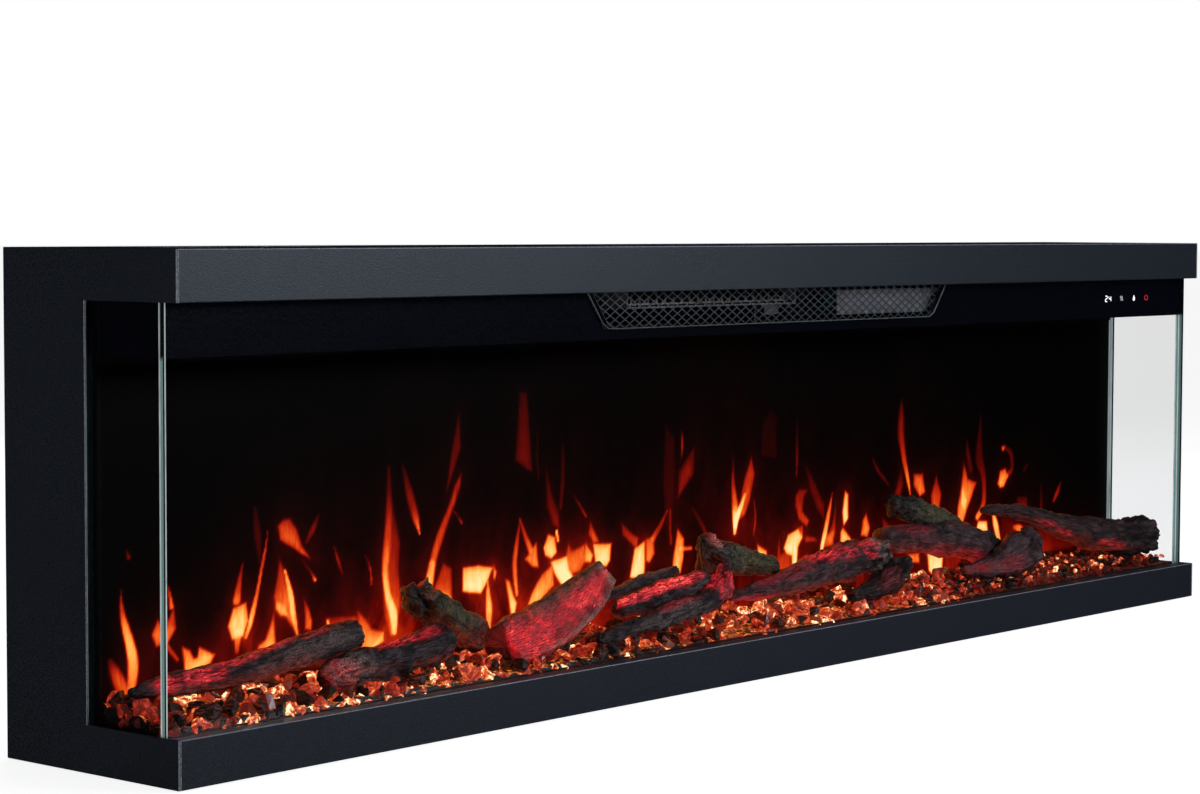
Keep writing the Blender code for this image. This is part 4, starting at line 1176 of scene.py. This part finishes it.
def flame_heat(x, z):
    """How hot the picture is at each (x, z) in millimetres: streaks and shards, each with a soft halo."""
    x = x + 0.8 * rough(np.stack([x, z * 0.6, 0 * x], 1), 22, 3)
    z = z + 0.8 * rough(np.stack([x, z, 0 * x + 90], 1), 18, 2)
    total = np.zeros_like(x)
    for shape in [("streak", s) for s in STREAKS] + [("shard", s) for s in SHARDS]:
        kind, facts = shape
        outline = facts if kind == "streak" else facts[1]
        xs, zs = [p[0] for p in outline], [p[1] for p in outline]
        near = (x > min(xs) - 26) & (x < max(xs) + 26) & (z > min(zs) - 26) & (z < max(zs) + 26)
        if kind == "streak":
            core, halo = streak_light(x[near], z[near], facts)
        else:
            core, halo = shard_light(x[near], z[near], *facts)
        total[near] = (total[near] ** 2.2 + core**2.2) ** (1 / 2.2) + halo
    return total


def flame_picture():
    """The lit front of the diffusing screen, on a fine grid, with the screen's own edges and back."""
    low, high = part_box("flame_screen")
    step = 0.0016
    nx, nz = round((high.x - low.x) / step), round((high.z - low.z) / step)
    bm = bmesh.new()
    place = Matrix.Translation(((low.x + high.x) / 2, low.y, (low.z + high.z) / 2))
    size = Matrix.Diagonal(((high.x - low.x) / 2, (high.z - low.z) / 2, 1, 1))
    upright = Matrix.Rotation(math.radians(90), 4, "X")
    bmesh.ops.create_grid(bm, x_segments=nx, y_segments=nz, size=1, matrix=place @ upright @ size)
    rim = [e for e in bm.edges if e.is_boundary]
    grown = bmesh.ops.extrude_edge_only(bm, edges=rim)["geom"]
    bmesh.ops.translate(
        bm, vec=(0, high.y - low.y, 0), verts=[g for g in grown if isinstance(g, bmesh.types.BMVert)]
    )
    bmesh.ops.contextual_create(bm, geom=[g for g in grown if isinstance(g, bmesh.types.BMEdge)])
    bmesh.ops.recalc_face_normals(bm, faces=bm.faces)
    picture = piece_from(
        "flame_picture", bm, flame_light("flame_screen_lit"), slot="screen", replaces=["flame_screen"]
    )
    points = np.array([v.co for v in picture.data.vertices])
    shown = points[:, 1] < low.y + 0.0005
    x, z = points[:, 0] / MM, points[:, 2] / MM
    reach = np.interp(x, [h[0] for h in HAZE], [h[1] for h in HAZE])
    dim = np.interp(x, [h[0] for h in HAZE], [h[2] for h in HAZE])
    uneven = 1 + 0.5 * rough(np.stack([x, z * 0.6, 0 * x], 1), 60, 3)
    haze = 0.86 * dim * uneven * np.exp(
        -((np.maximum(z - 42, 0) / (0.46 * reach)) ** 1.3)
    ) * smooth(-765, -700, x)
    paint(picture.data, "warmth", np.where(shown, flame_heat(x, z), 0))
    paint(picture.data, "haze", np.where(shown, np.maximum(haze, 0), 0))


# ---------------------------------------------------------------- logs

# A spine is (x, depth, z, radius) in millimetres. A patch is (where along it, reach, angle from the top
# towards the front, reach in degrees, strength). flat is the angle that a split face looks to, and how far
# it is from the middle.
LOGS = {
    "log_long_left": dict(
        bark="charred",
        spine=[
            (-740, 80, 63, 4), (-700, 78, 64.5, 9.5), (-632, 75, 67.5, 11.5), (-571, 71, 77, 13),
            (-513, 67, 86, 12),
        ],
        glow=[
            (.12, .08, 60, 60, .8), (.29, .12, 55, 60, .9), (.42, .16, 15, 44, .7), (.62, .14, 5, 30, .7),
            (.80, .10, 15, 22, .4),
        ],
        ash=[(.8, .3, 80, 80, .4)],
        lump=.10, cut=(False, True),
    ),
    "log_knobby": dict(
        bark="charred",
        spine=[(-562, 50, 57, 9), (-545, 50, 58.5, 14), (-478, 47, 66, 15), (-430, 48, 73, 16)],
        glow=[(.60, .26, 4, 42, 1.1), (.85, .14, 20, 40, .6), (.06, .16, 90, 110, .35)],
        ash=[(.1, .25, 60, 100, .9)], lump=.26, cut=(False, False),
    ),
    "log_stump": dict(
        bark="mossy",
        spine=[(-431, 86, 111, 9), (-421, 85, 103, 14.5), (-392, 79, 86, 17), (-360, 72, 65, 15)],
        glow=[(.03, .10, -20, 70, .5), (.97, .2, 60, 90, .12)], moss=[(.45, .40, 50, 110, .7)],
        ash=[(.12, .12, 40, 80, .8)], lump=.36,
        cut=(False, False), knob=(.34, .46, .009),
    ),
    "log_split_red": dict(
        bark="split",
        spine=[
            (-353, 46, 60, 21), (-335, 49, 62, 22.5), (-286, 55, 71, 23), (-228, 64, 90, 20),
            (-192, 72, 106, 13.5),
        ],
        glow=[(.14, .40, 70, 84, .85), (.42, .34, 62, 78, .6), (.74, .30, 58, 62, .95)],
        moss=[(.55, .6, -16, 32, .8)],
        ash=[(.98, .04, 80, 100, .9), (.6, .6, 122, 9, .9)],
        flat=(58, .46), lump=.045, cut=(True, True),
    ),
    "log_centre": dict(
        bark="charred",
        spine=[(-184, 62, 73, 8), (-140, 61, 78, 12.5), (-100, 60.5, 83, 12.5), (-62, 60, 87.5, 11)],
        glow=[(.40, .66, 30, 42, 1.35)], ash=[(.9, .2, 110, 60, .4)], lump=.14, cut=(False, True),
    ),
    "log_forked": dict(
        bark="charred",
        spine=[
            (-240, 35, 54, 5), (-178, 37, 62, 8.5), (-92, 39, 72, 10.5), (-58, 43, 84, 10),
            (-44, 47, 100, 6),
        ],
        glow=[(.93, .16, 0, 180, 1.0), (.5, .2, 30, 30, .3)], ash=[(.45, .3, 90, 70, .4)], lump=.28,
        cut=(False, False), knob=(-.16, .40, .010),
    ),
    "log_mossy_knob": dict(
        bark="mossy", spine=[(-28, 88, 122, 9), (-15, 86, 110, 14.5), (22, 82, 98, 14), (68, 79, 88, 10)],
        glow=[(.04, .12, 50, 60, .5)], moss=[(.62, .42, 30, 140, .9)], ash=[(.10, .12, 50, 70, 1.3)],
        lump=.34, cut=(False, False), knob=(.30, .44, .009),
    ),
    "log_grey_long": dict(
        bark="drift",
        spine=[
            (-30, 52, 71, 4), (50, 55, 74.5, 11.5), (140, 62, 84, 19), (200, 66, 88, 18), (240, 69, 89, 13)
        ],
        glow=[
            (.10, .16, 140, 50, .5), (.30, .26, 30, 50, .3), (.58, .12, 12, 50, .9), (.70, .10, 50, 30, .7),
            (.84, .10, 40, 50, .6),
        ],
        ash=[(.95, .10, 60, 110, .9)], lump=.20, cut=(False, False), knob=(-.24, .34, .016),
    ),
    "log_grey_right": dict(
        bark="drift", spine=[(268, 86, 100, 12), (327, 84, 95, 15), (397, 78, 88, 18), (462, 74, 72, 15)],
        glow=[(.55, .5, 150, 46, .34), (.22, .16, 30, 60, .22)], lump=.20, cut=(False, False),
        knob=(-.20, .22, .020),
    ),
    "log_mossy_right": dict(
        bark="mossy", spine=[(290, 91, 134, 9), (318, 91, 126, 13.5), (361, 90, 115, 14), (402, 88, 101, 11)],
        moss=[(.62, .36, 20, 150, .9)], lump=.30, cut=(False, False), knob=(.30, .40, .009),
    ),
    "log_wedge": dict(
        bark="drift",
        spine=[(360, 46, 61, 5), (408, 47, 60, 12), (450, 48, 65, 19), (482, 49, 76, 19), (500, 50, 90, 9)],
        glow=[(.12, .30, 60, 60, .3), (.50, .26, 80, 50, .22)], flat=(62, .62), lump=.20, cut=(False, True),
        knob=(-.30, .20, .016),
    ),
    "log_long_right": dict(
        bark="dark",
        spine=[
            (455, 86, 116, 4), (518, 79, 109, 9), (585, 68, 90, 13), (655, 53, 73, 19), (728, 46, 69, 22)
        ],
        glow=[(.36, .06, 110, 26, .45), (.47, .06, 124, 22, .45), (.72, .09, 112, 20, .6)], lump=.18,
        cut=(False, False),
        knob=(-.26, .30, .030),
    ),
    "branch_centre": dict(
        bark="charred", spine=[(-180, 84, 81, 4), (-135, 83, 89, 6), (-76, 82, 98.5, 4.5)],
        ash=[(.5, .5, 20, 60, .35)], lump=.22, cut=(False, True),
    ),
    "branch_dark": dict(
        bark="dark", spine=[(146, 37, 56, 5), (182, 40, 58, 11), (220, 43, 66, 13.5), (256, 47, 78, 9)],
        glow=[(.55, .30, 60, 60, .14)], lump=.34, cut=(False, True), knob=(-.40, .34, .014),
    ),
}


def patches(marks, along, angle, grain):
    """The strength of painted patches, with ragged rims."""
    total = np.zeros_like(along)
    for where, reach, centre, spread, strength in marks:
        turn = (angle - centre + 180) % 360 - 180
        away = np.hypot((along - where) / reach, turn / spread) + 0.28 * grain
        total = np.maximum(total, strength * (1 - smooth(0.45, 1.1, away)))
    return total


def axes_along(centre):
    """Unit vectors along a spine, out to its side and upward, at each of its points."""
    tangent = np.gradient(centre, axis=0)
    tangent /= np.linalg.norm(tangent, axis=1)[:, None]
    outward = np.cross(tangent, (0, 0, 1))
    outward /= np.linalg.norm(outward, axis=1)[:, None]
    return tangent, outward, np.cross(outward, tangent)


def log_rings(count, cut):
    """For each ring of a log: its point on the spine, how wide it is and how far it is pushed past."""
    rings = [(0, wide, -push) for wide, push in END_RINGS[cut[0]]]
    rings += [(k, 1.0, 0.0) for k in range(count)]
    rings += [(count - 1, wide, push) for wide, push in reversed(END_RINGS[cut[1]])]
    at, wide, push = zip(*rings)
    return np.array(at), np.array(wide)[:, None], np.array(push)[:, None]


def log_relief(skin, angle, part, lump, flat, knob):
    """Over the skin of a log: its bulges, as a share of the radius, its fissures, and how much darker it is
    painted, most in the fissures and the low parts of the craggy end.
    """
    lumps = rough(skin, 0.020, 3).reshape(angle.shape)
    ridges = 1 - np.abs(rough(skin, (0.030, 0.0048, 0.0048), 2)).reshape(angle.shape)
    shape = 1 + lump * lumps
    if flat:
        face, reach = flat
        facing = np.cos(np.radians(angle - face))
        split = reach * (1 + 0.07 * lumps) / np.maximum(facing, 0.05)
        ridges = np.where((facing > 0) & (split < shape), 0, ridges)
        shape = np.where(facing > 0, np.minimum(shape, split), shape)
    share, strength, stretch = knob
    craggy = smooth(-share, -0.5 * share, -part) if share > 0 else smooth(1 + share, 1 + 0.5 * share, part)
    crags = rough(skin + 21, (stretch, 0.0075, 0.0075), 3).reshape(angle.shape)
    fissure = smooth(0.80, 0.99, ridges)
    # Darker paint in the fissures and in the low parts of the crags.
    crevice_dark = np.maximum(0.85 * fissure, craggy * smooth(0.05, -0.35, crags) * min(1, 4 * strength))
    return shape + strength * craggy * crags, fissure, crevice_dark


def log_faces(s, r, girth):
    """The faces between rings and out to the two tips, and each corner's place along and around the log."""
    count, sides = s.shape
    first, last = count * sides, count * sides + 1
    faces, grain = [], []
    for i, j in itertools.product(range(count - 1), range(sides)):
        k = (j + 1) % sides
        near, far = j * girth, (j + 1) * girth
        faces.append((i * sides + j, (i + 1) * sides + j, (i + 1) * sides + k, i * sides + k))
        grain += [(s[i, j], near), (s[i + 1, j], near), (s[i + 1, j], far), (s[i, j], far)]
    for j in range(sides):
        k = (j + 1) % sides
        near, far = j * girth, (j + 1) * girth
        faces += [(first, j, k), (last, (count - 1) * sides + k, (count - 1) * sides + j)]
        grain += [(s[0, j] - r[0, j], near), (s[0, j], near), (s[0, j], far)]
        grain += [(s[-1, j] + r[-1, j], near), (s[-1, j], far), (s[-1, j], near)]
    return faces, grain


def log_mesh(
    name, seed, spine, glow=(), moss=(), ash=(), flat=None, lump=0.15, cut=(False, False),
    knob=(0.1, 0, 0.008),
):
    """A log swept along its spine, with lumps, fissures and broken or sawn ends. knob makes one end craggy:
    the share of the length it takes from the start (or to the end, if negative), how craggy it is, and the
    grain along the log."""
    rows = spline([(x * MM, depth(y), z * MM, r * MM) for x, y, z, r in spine], 0.0018)
    centre, radius = rows[:, :3], rows[:, 3]
    along = np.concatenate([[0], np.cumsum(np.linalg.norm(np.diff(centre, axis=0), axis=1))])
    tangent, outward, upward = axes_along(centre)
    index, wide, push = log_rings(len(rows), cut)
    angle = np.linspace(180, -180, LOG_SIDES, endpoint=False)[None, :] + 0 * wide
    turn = np.radians(angle)
    r = radius[index][:, None] + 0 * angle
    s = along[index][:, None] + push * r
    skin = np.stack([s, np.cos(turn) * r * wide, np.sin(turn) * r * wide], -1).reshape(-1, 3) + 3.7 * seed
    bulge, fissure, crevice_dark = log_relief(skin, angle, s / along[-1], lump, flat, knob)
    fine = rough(skin, (0.006, 0.0022, 0.0022), 3).reshape(r.shape)
    r = r * bulge * wide - (0.0015 * fissure - 0.0009 * fine) * np.minimum(1, wide)
    broken = (1 - wide) * rough(skin + 5, 0.0055, 3).reshape(r.shape) * 0.0042
    points = (
        centre[index][:, None]
        + tangent[index][:, None] * (push * radius[index][:, None] + broken)[..., None]
        + upward[index][:, None] * (np.cos(turn) * r)[..., None]
        + outward[index][:, None] * (np.sin(turn) * r)[..., None]
    ).reshape(-1, 3)
    tips = [points[:LOG_SIDES].mean(0), points[-LOG_SIDES:].mean(0)]
    faces, grain = log_faces(s, r, 2 * math.pi * float(radius.mean()) / LOG_SIDES)
    mesh = mesh_of(name, np.vstack([points, tips]), faces)
    uv = mesh.uv_layers.new(name="grain")
    uv.data.foreach_set("uv", (np.array(grain) + 0.37 * seed).astype(np.float32).ravel())
    ragged = rough(skin + 9, 0.012, 3)
    paint(mesh, "crevice_dark", np.append(crevice_dark.ravel(), [0.8, 0.8]))
    for layer, marks in (("glow", glow), ("moss", moss), ("ash", ash)):
        values = patches(marks, (s / along[-1]).ravel(), angle.ravel(), ragged)
        paint(mesh, layer, np.append(values, [values[:LOG_SIDES].mean(), values[-LOG_SIDES:].mean()]))
    bm = bmesh.new()
    bm.from_mesh(mesh)
    bmesh.ops.recalc_face_normals(bm, faces=bm.faces)
    bm.to_mesh(mesh)
    bm.free()
    return mesh


def logs():
    crimson = ((0.42, 0.004, 0.012), (0.85, 0.020, 0.036), (1.0, 0.15, 0.075))
    black, moss = (0.0016, 0.0013, 0.0016), (0.110, 0.105, 0.050)
    charred = bark("bark_charred", (0.007, 0.004, 0.006), (0.125, 0.080, 0.098), black, moss, crimson)
    mossy = bark(
        "bark_mossy", (0.004, 0.004, 0.004), (0.105, 0.105, 0.090), black, moss, crimson,
        grain=(0.0035, 0.0016), relief=0.0015,
    )
    drift = bark(
        "bark_drift", (0.020, 0.009, 0.013), (0.150, 0.080, 0.090), black, tint(moss, 0.7), crimson,
        grain=(0.014, 0.0011),
    )
    dark = bark(
        "bark_dark", (0.014, 0.006, 0.008), (0.105, 0.050, 0.053), black, tint(moss, 0.4), crimson,
        grain=(0.016, 0.0012),
    )
    split = bark(
        "bark_split", (0.050, 0.008, 0.010), (0.34, 0.070, 0.066), black, (0.12, 0.085, 0.03), crimson,
        grain=(0.010, 0.0006), relief=0.0006,
    )
    barks = {
        "charred": (charred, "charred_bark"), "mossy": (mossy, "mossy_bark"),
        "drift": (drift, "charred_bark"), "dark": (dark, "charred_bark"),
        "split": (split, "red_bark"),
    }
    for seed, (name, facts) in enumerate(LOGS.items(), start=1):
        facts = dict(facts)
        material, slot = barks[facts.pop("bark")]
        shown = "bark_" + name
        stands_for = [name] if name in nodes else []
        piece_from(shown, log_mesh(shown, seed, **facts), material, slot=slot, replaces=stands_for)


# ---------------------------------------------------------------- ember bed

def stone_shapes(rng, count, rim):
    """Faceted stones about 2 across, as (points, triangles)."""
    shapes = []
    for _ in range(count):
        bm = bmesh.new()
        cloud = rng.normal(size=(rng.integers(9, 14), 3))
        cloud *= rng.uniform(0.8, 1.0, (len(cloud), 1)) / np.linalg.norm(cloud, axis=1)[:, None]
        cloud *= (1, rng.uniform(0.6, 0.95), rng.uniform(0.45, 0.8))
        made = bmesh.ops.convex_hull(bm, input=[bm.verts.new(p) for p in cloud])
        bmesh.ops.delete(
            bm, geom=[g for g in made["geom_interior"] if isinstance(g, bmesh.types.BMVert)],
            context="VERTS",
        )
        bmesh.ops.bevel(bm, geom=bm.edges[:], offset=rim, segments=1, affect="EDGES", clamp_overlap=True)
        bmesh.ops.triangulate(bm, faces=bm.faces)
        bm.verts.index_update()
        shapes.append(
            (np.array([v.co for v in bm.verts]), np.array([[v.index for v in f.verts] for f in bm.faces]))
        )
        bm.free()
    return shapes


def bed_height(x, y):
    """The top of the bed at x and depth y: it climbs to the back, and to the left."""
    climb = np.interp(y, [0.0265, 0.050, 0.080, 0.103], [0.0400, 0.0435, 0.0480, 0.0520])
    return climb + 0.0045 * smooth(0.10, -0.70, x)


def scatter(
    name, material, rng, shapes, count, sizes, heats, lift, tones=(0, 1), reach=(-0.752, 0.752),
    across=(0.027, 0.1015), drop=0.0,
    fade=0.85,
):
    """Stones in one mesh, each with its own place, size, turn, heat and tone, inside the tray."""
    points, faces, heat, tone = [], [], [], []
    total = 0
    for _ in range(count):
        shape, tris = shapes[rng.integers(len(shapes))]
        x, y = rng.uniform(*reach), rng.uniform(*across)
        size = rng.uniform(*sizes) * (1 - 0.28 * smooth(0.30, 0.60, x))
        turn = np.array(Quaternion(rng.normal(size=4)).normalized().to_matrix())
        shaped = shape @ turn.T * size / 2
        low, high = shaped.min(0), shaped.max(0)
        x = float(np.clip(x, reach[0] - low[0], reach[1] - high[0]))
        y = float(np.clip(y, 0.0232 - low[1], 0.1040 - high[1]))
        z = bed_height(x, y) - drop + size * rng.uniform(*lift)
        points.append(shaped + (x, FRONT + y, z))
        faces.append(tris + total)
        total += len(shape)
        cluster = wobble(np.array([[x, y * 1.5, 0.2]]), 0.045)[0]
        # cool dims each stone's glow towards the right and at the left end, and it also darkens the stone's
        # tone there: painted shade on its colour.
        cool = 1 - fade * smooth(0.26, 0.42, x) - 0.6 * smooth(-0.67, -0.75, x)
        warmth = np.clip(rng.uniform(*heats) * (1 + 0.5 * cluster), 0, 1.6) * cool
        heat.append(np.full(len(shape), warmth) * rng.uniform(0.7, 1.15, len(shape)))
        tone.append(np.full(len(shape), rng.uniform(*tones) * cool))
    mesh = mesh_of(name, np.vstack(points), np.vstack(faces), smooth_faces=False)
    paint(mesh, "warmth", np.concatenate(heat))
    paint(mesh, "tone", np.concatenate(tone))
    return piece_from(name, mesh, material, slot="embers")


def embers():
    """A crushed glowing layer, and over it crystals, brown stones, charcoal and, to the right, beads."""
    low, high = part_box("ember_bed")
    nx, ny = 620, 34
    bm = bmesh.new()
    place = Matrix.Translation(((low.x + high.x) / 2, (low.y + high.y) / 2, 0))
    bmesh.ops.create_grid(
        bm, x_segments=nx, y_segments=ny, size=1,
        matrix=place @ Matrix.Diagonal(((high.x - low.x) / 2, (high.y - low.y) / 2, 1, 1)),
    )
    flat = np.array([v.co for v in bm.verts])
    top = bed_height(flat[:, 0], flat[:, 1] - FRONT) - 0.0035 + 0.0026 * rough(flat, 0.011, 4)
    for vert, z in zip(bm.verts, top):
        vert.co.z = z
    rim = [e for e in bm.edges if e.is_boundary]
    grown = bmesh.ops.extrude_edge_only(bm, edges=rim)["geom"]
    for g in grown:
        if isinstance(g, bmesh.types.BMVert):
            g.co.z = low.z
    bmesh.ops.contextual_create(bm, geom=[g for g in grown if isinstance(g, bmesh.types.BMEdge)])
    bmesh.ops.recalc_face_normals(bm, faces=bm.faces)
    for face in bm.faces:
        face.smooth = len(face.verts) == 4
        face.material_index = 0 if face.normal.z > 0.3 else 1
    amber, coal = crystal("crystal_amber"), charcoal("charcoal_chip")
    piece_from(
        "ember_layer", bm, ember_floor("ember_layer_glow"), coal, slot="embers", replaces=["ember_bed"]
    )

    rng = np.random.default_rng(479)
    sharp = stone_shapes(rng, 26, 0.05)
    worn = stone_shapes(rng, 18, 0.14)
    edge = dict(across=(0.0235, 0.032), drop=0.004)
    scatter("ember_crystals_small", amber, rng, sharp, 190, (0.008, 0.013), (0.2, 1.2), (-0.2, 0.25))
    scatter("ember_crystals_large", amber, rng, sharp, 460, (0.020, 0.034), (0.05, 1.30), (-0.34, 0.0))
    scatter(
        "ember_stones_brown", amber, rng, worn, 150, (0.014, 0.026), (0.0, 0.25), (-0.20, 0.12),
        tones=(0.0, 0.3),
    )
    scatter("ember_charcoal", coal, rng, worn, 130, (0.014, 0.027), (0.0, 0.5), (-0.15, 0.15))
    scatter(
        "ember_charcoal_left", coal, rng, worn, 70, (0.022, 0.036), (0.0, 0.4), (-0.15, 0.12),
        reach=(-0.752, -0.16),
    )
    scatter(
        "ember_edge_crystals", amber, rng, sharp, 200, (0.017, 0.030), (0.10, 1.35), (-0.38, -0.08), **edge
    )
    scatter("ember_edge_charcoal", coal, rng, worn, 60, (0.014, 0.026), (0.0, 0.4), (-0.3, 0.0), **edge)
    scatter(
        "ember_charcoal_right", coal, rng, worn, 130, (0.010, 0.019), (0.0, 0.3), (-0.2, 0.2),
        reach=(0.28, 0.750),
    )
    end = dict(reach=(-0.752, -0.727), drop=0.004)
    scatter(
        "ember_end_stones", amber, rng, sharp, 26, (0.012, 0.024), (0.0, 0.35), (-0.4, 0.1),
        tones=(0.0, 0.35), **end
    )
    scatter("ember_end_charcoal", coal, rng, worn, 30, (0.012, 0.024), (0.0, 0.35), (-0.3, 0.1), **end)
    scatter(
        "ember_beads", amber, rng, worn, 210, (0.009, 0.0125), (0.0, 1.25), (0.1, 0.6), reach=(0.27, 0.747),
        fade=0.0,
    )


# ---------------------------------------------------------------- floor, light and camera

def floor():
    look = Look("floor_pale", Emission_Color=(1, 1, 1, 1), Emission_Strength=0.84)
    cloud = look.noise(0.7, 3)
    look.set(Base_Color=look.ramp(cloud, (0.3, (0.46, 0.46, 0.465)), (0.7, (0.50, 0.50, 0.505))))
    look.set(Roughness=look.ramp(cloud, (0.3, 0.75), (0.7, 0.9)))
    bm = bmesh.new()
    bmesh.ops.create_grid(
        bm, x_segments=4, y_segments=4, size=40, matrix=Matrix.Translation((0, 0, BASE - 0.0006))
    )
    data = bpy.data.meshes.new("floor")
    bm.to_mesh(data)
    bm.free()
    ground = bpy.data.objects.new("floor", data)
    data.materials.append(look.material)
    bpy.context.scene.collection.objects.link(ground)
    ground.visible_glossy = False


def lamp(name, place, target, size, power, colour=(1, 1, 1), lights=None):
    """A soft rectangular lamp at place, facing target. Where lights is given, it lights only those pieces."""
    data = bpy.data.lights.new(name, "AREA")
    data.shape = "RECTANGLE"
    data.size, data.size_y = size
    data.energy = power
    data.color = colour
    light = bpy.data.objects.new(name, data)
    light.location = place
    light.rotation_euler = (Vector(target) - Vector(place)).to_track_quat("-Z", "Y").to_euler()
    light.visible_camera = False
    bpy.context.scene.collection.objects.link(light)
    if lights:
        group = bpy.data.collections.new(name + "_lights")
        for piece in lights:
            group.objects.link(piece)
        light.light_linking.receiver_collection = group


def studio():
    """White surroundings for the eye, dim ones for reflections, and soft boxes."""
    world = bpy.data.worlds.new("studio")
    world.use_nodes = True
    bpy.context.scene.world = world
    tree = world.node_tree
    path = tree.nodes.new("ShaderNodeLightPath")
    seen = tree.nodes.new("ShaderNodeMath")
    seen.operation = "MULTIPLY_ADD"
    seen.inputs[1].default_value = WORLD_SEEN - WORLD_LIGHT
    seen.inputs[2].default_value = WORLD_LIGHT
    dull = tree.nodes.new("ShaderNodeMath")
    dull.operation = "MULTIPLY_ADD"
    dull.inputs[1].default_value = WORLD_GLOSS - WORLD_LIGHT
    tree.links.new(path.outputs["Is Camera Ray"], seen.inputs[0])
    tree.links.new(path.outputs["Is Glossy Ray"], dull.inputs[0])
    tree.links.new(seen.outputs[0], dull.inputs[2])
    tree.links.new(dull.outputs[0], tree.nodes["Background"].inputs["Strength"])
    tree.nodes["Background"].inputs["Color"].default_value = (1, 1, 1, 1)
    cool = (0.90, 0.95, 1.0)
    lamp("key_box", (0.62, -1.75, 0.86), (-0.55, -0.10, 0.37), (0.9, 0.5), 17, cool)
    lamp("top_box", (0.0, -0.15, 2.3), (0, 0, 0.3), (2.6, 1.2), 12, cool)
    lamp("back_box", (1.5, 2.2, 1.3), (0.2, 0.1, 0.2), (1.2, 1.2), 14, cool)
    bed = [o for o in bpy.data.objects if o.name.startswith(("bark_", "ember_")) and o.type == "MESH"]
    lamp("flame_lamp", (0, depth(101), 0.105), (0, FRONT, 0.075), (1.40, 0.07), 0.55, (1.0, 0.20, 0.04), bed)
    lamp("ember_lamp", (0, depth(62), 0.058), (0, depth(62), 1.0), (1.44, 0.06), 0.4, (1.0, 0.10, 0.05), bed)


def camera():
    yaw, down, roll = (math.radians(a) for a in (CAMERA_YAW, CAMERA_DOWN, CAMERA_ROLL))
    ahead = Vector((math.sin(yaw) * math.cos(down), math.cos(yaw) * math.cos(down), -math.sin(down)))
    right = Vector((math.cos(yaw), -math.sin(yaw), 0))
    up = right.cross(ahead)
    right, up = right * math.cos(roll) + up * math.sin(roll), up * math.cos(roll) - right * math.sin(roll)
    data = bpy.data.cameras.new("camera")
    data.lens, data.sensor_width = CAMERA_LENS, 36
    data.clip_end = 200
    eye = bpy.data.objects.new("camera", data)
    eye.matrix_world = Matrix.Translation(CAMERA_PLACE) @ Matrix((right, up, -ahead)).transposed().to_4x4()
    bpy.context.scene.collection.objects.link(eye)
    bpy.context.scene.camera = eye
    bpy.context.scene.view_settings.view_transform = "Standard"


dress_frame()
casing()
screws()
panes()
band()
seals()
grille()
display()
flame_picture()
logs()
embers()
floor()
studio()
camera()
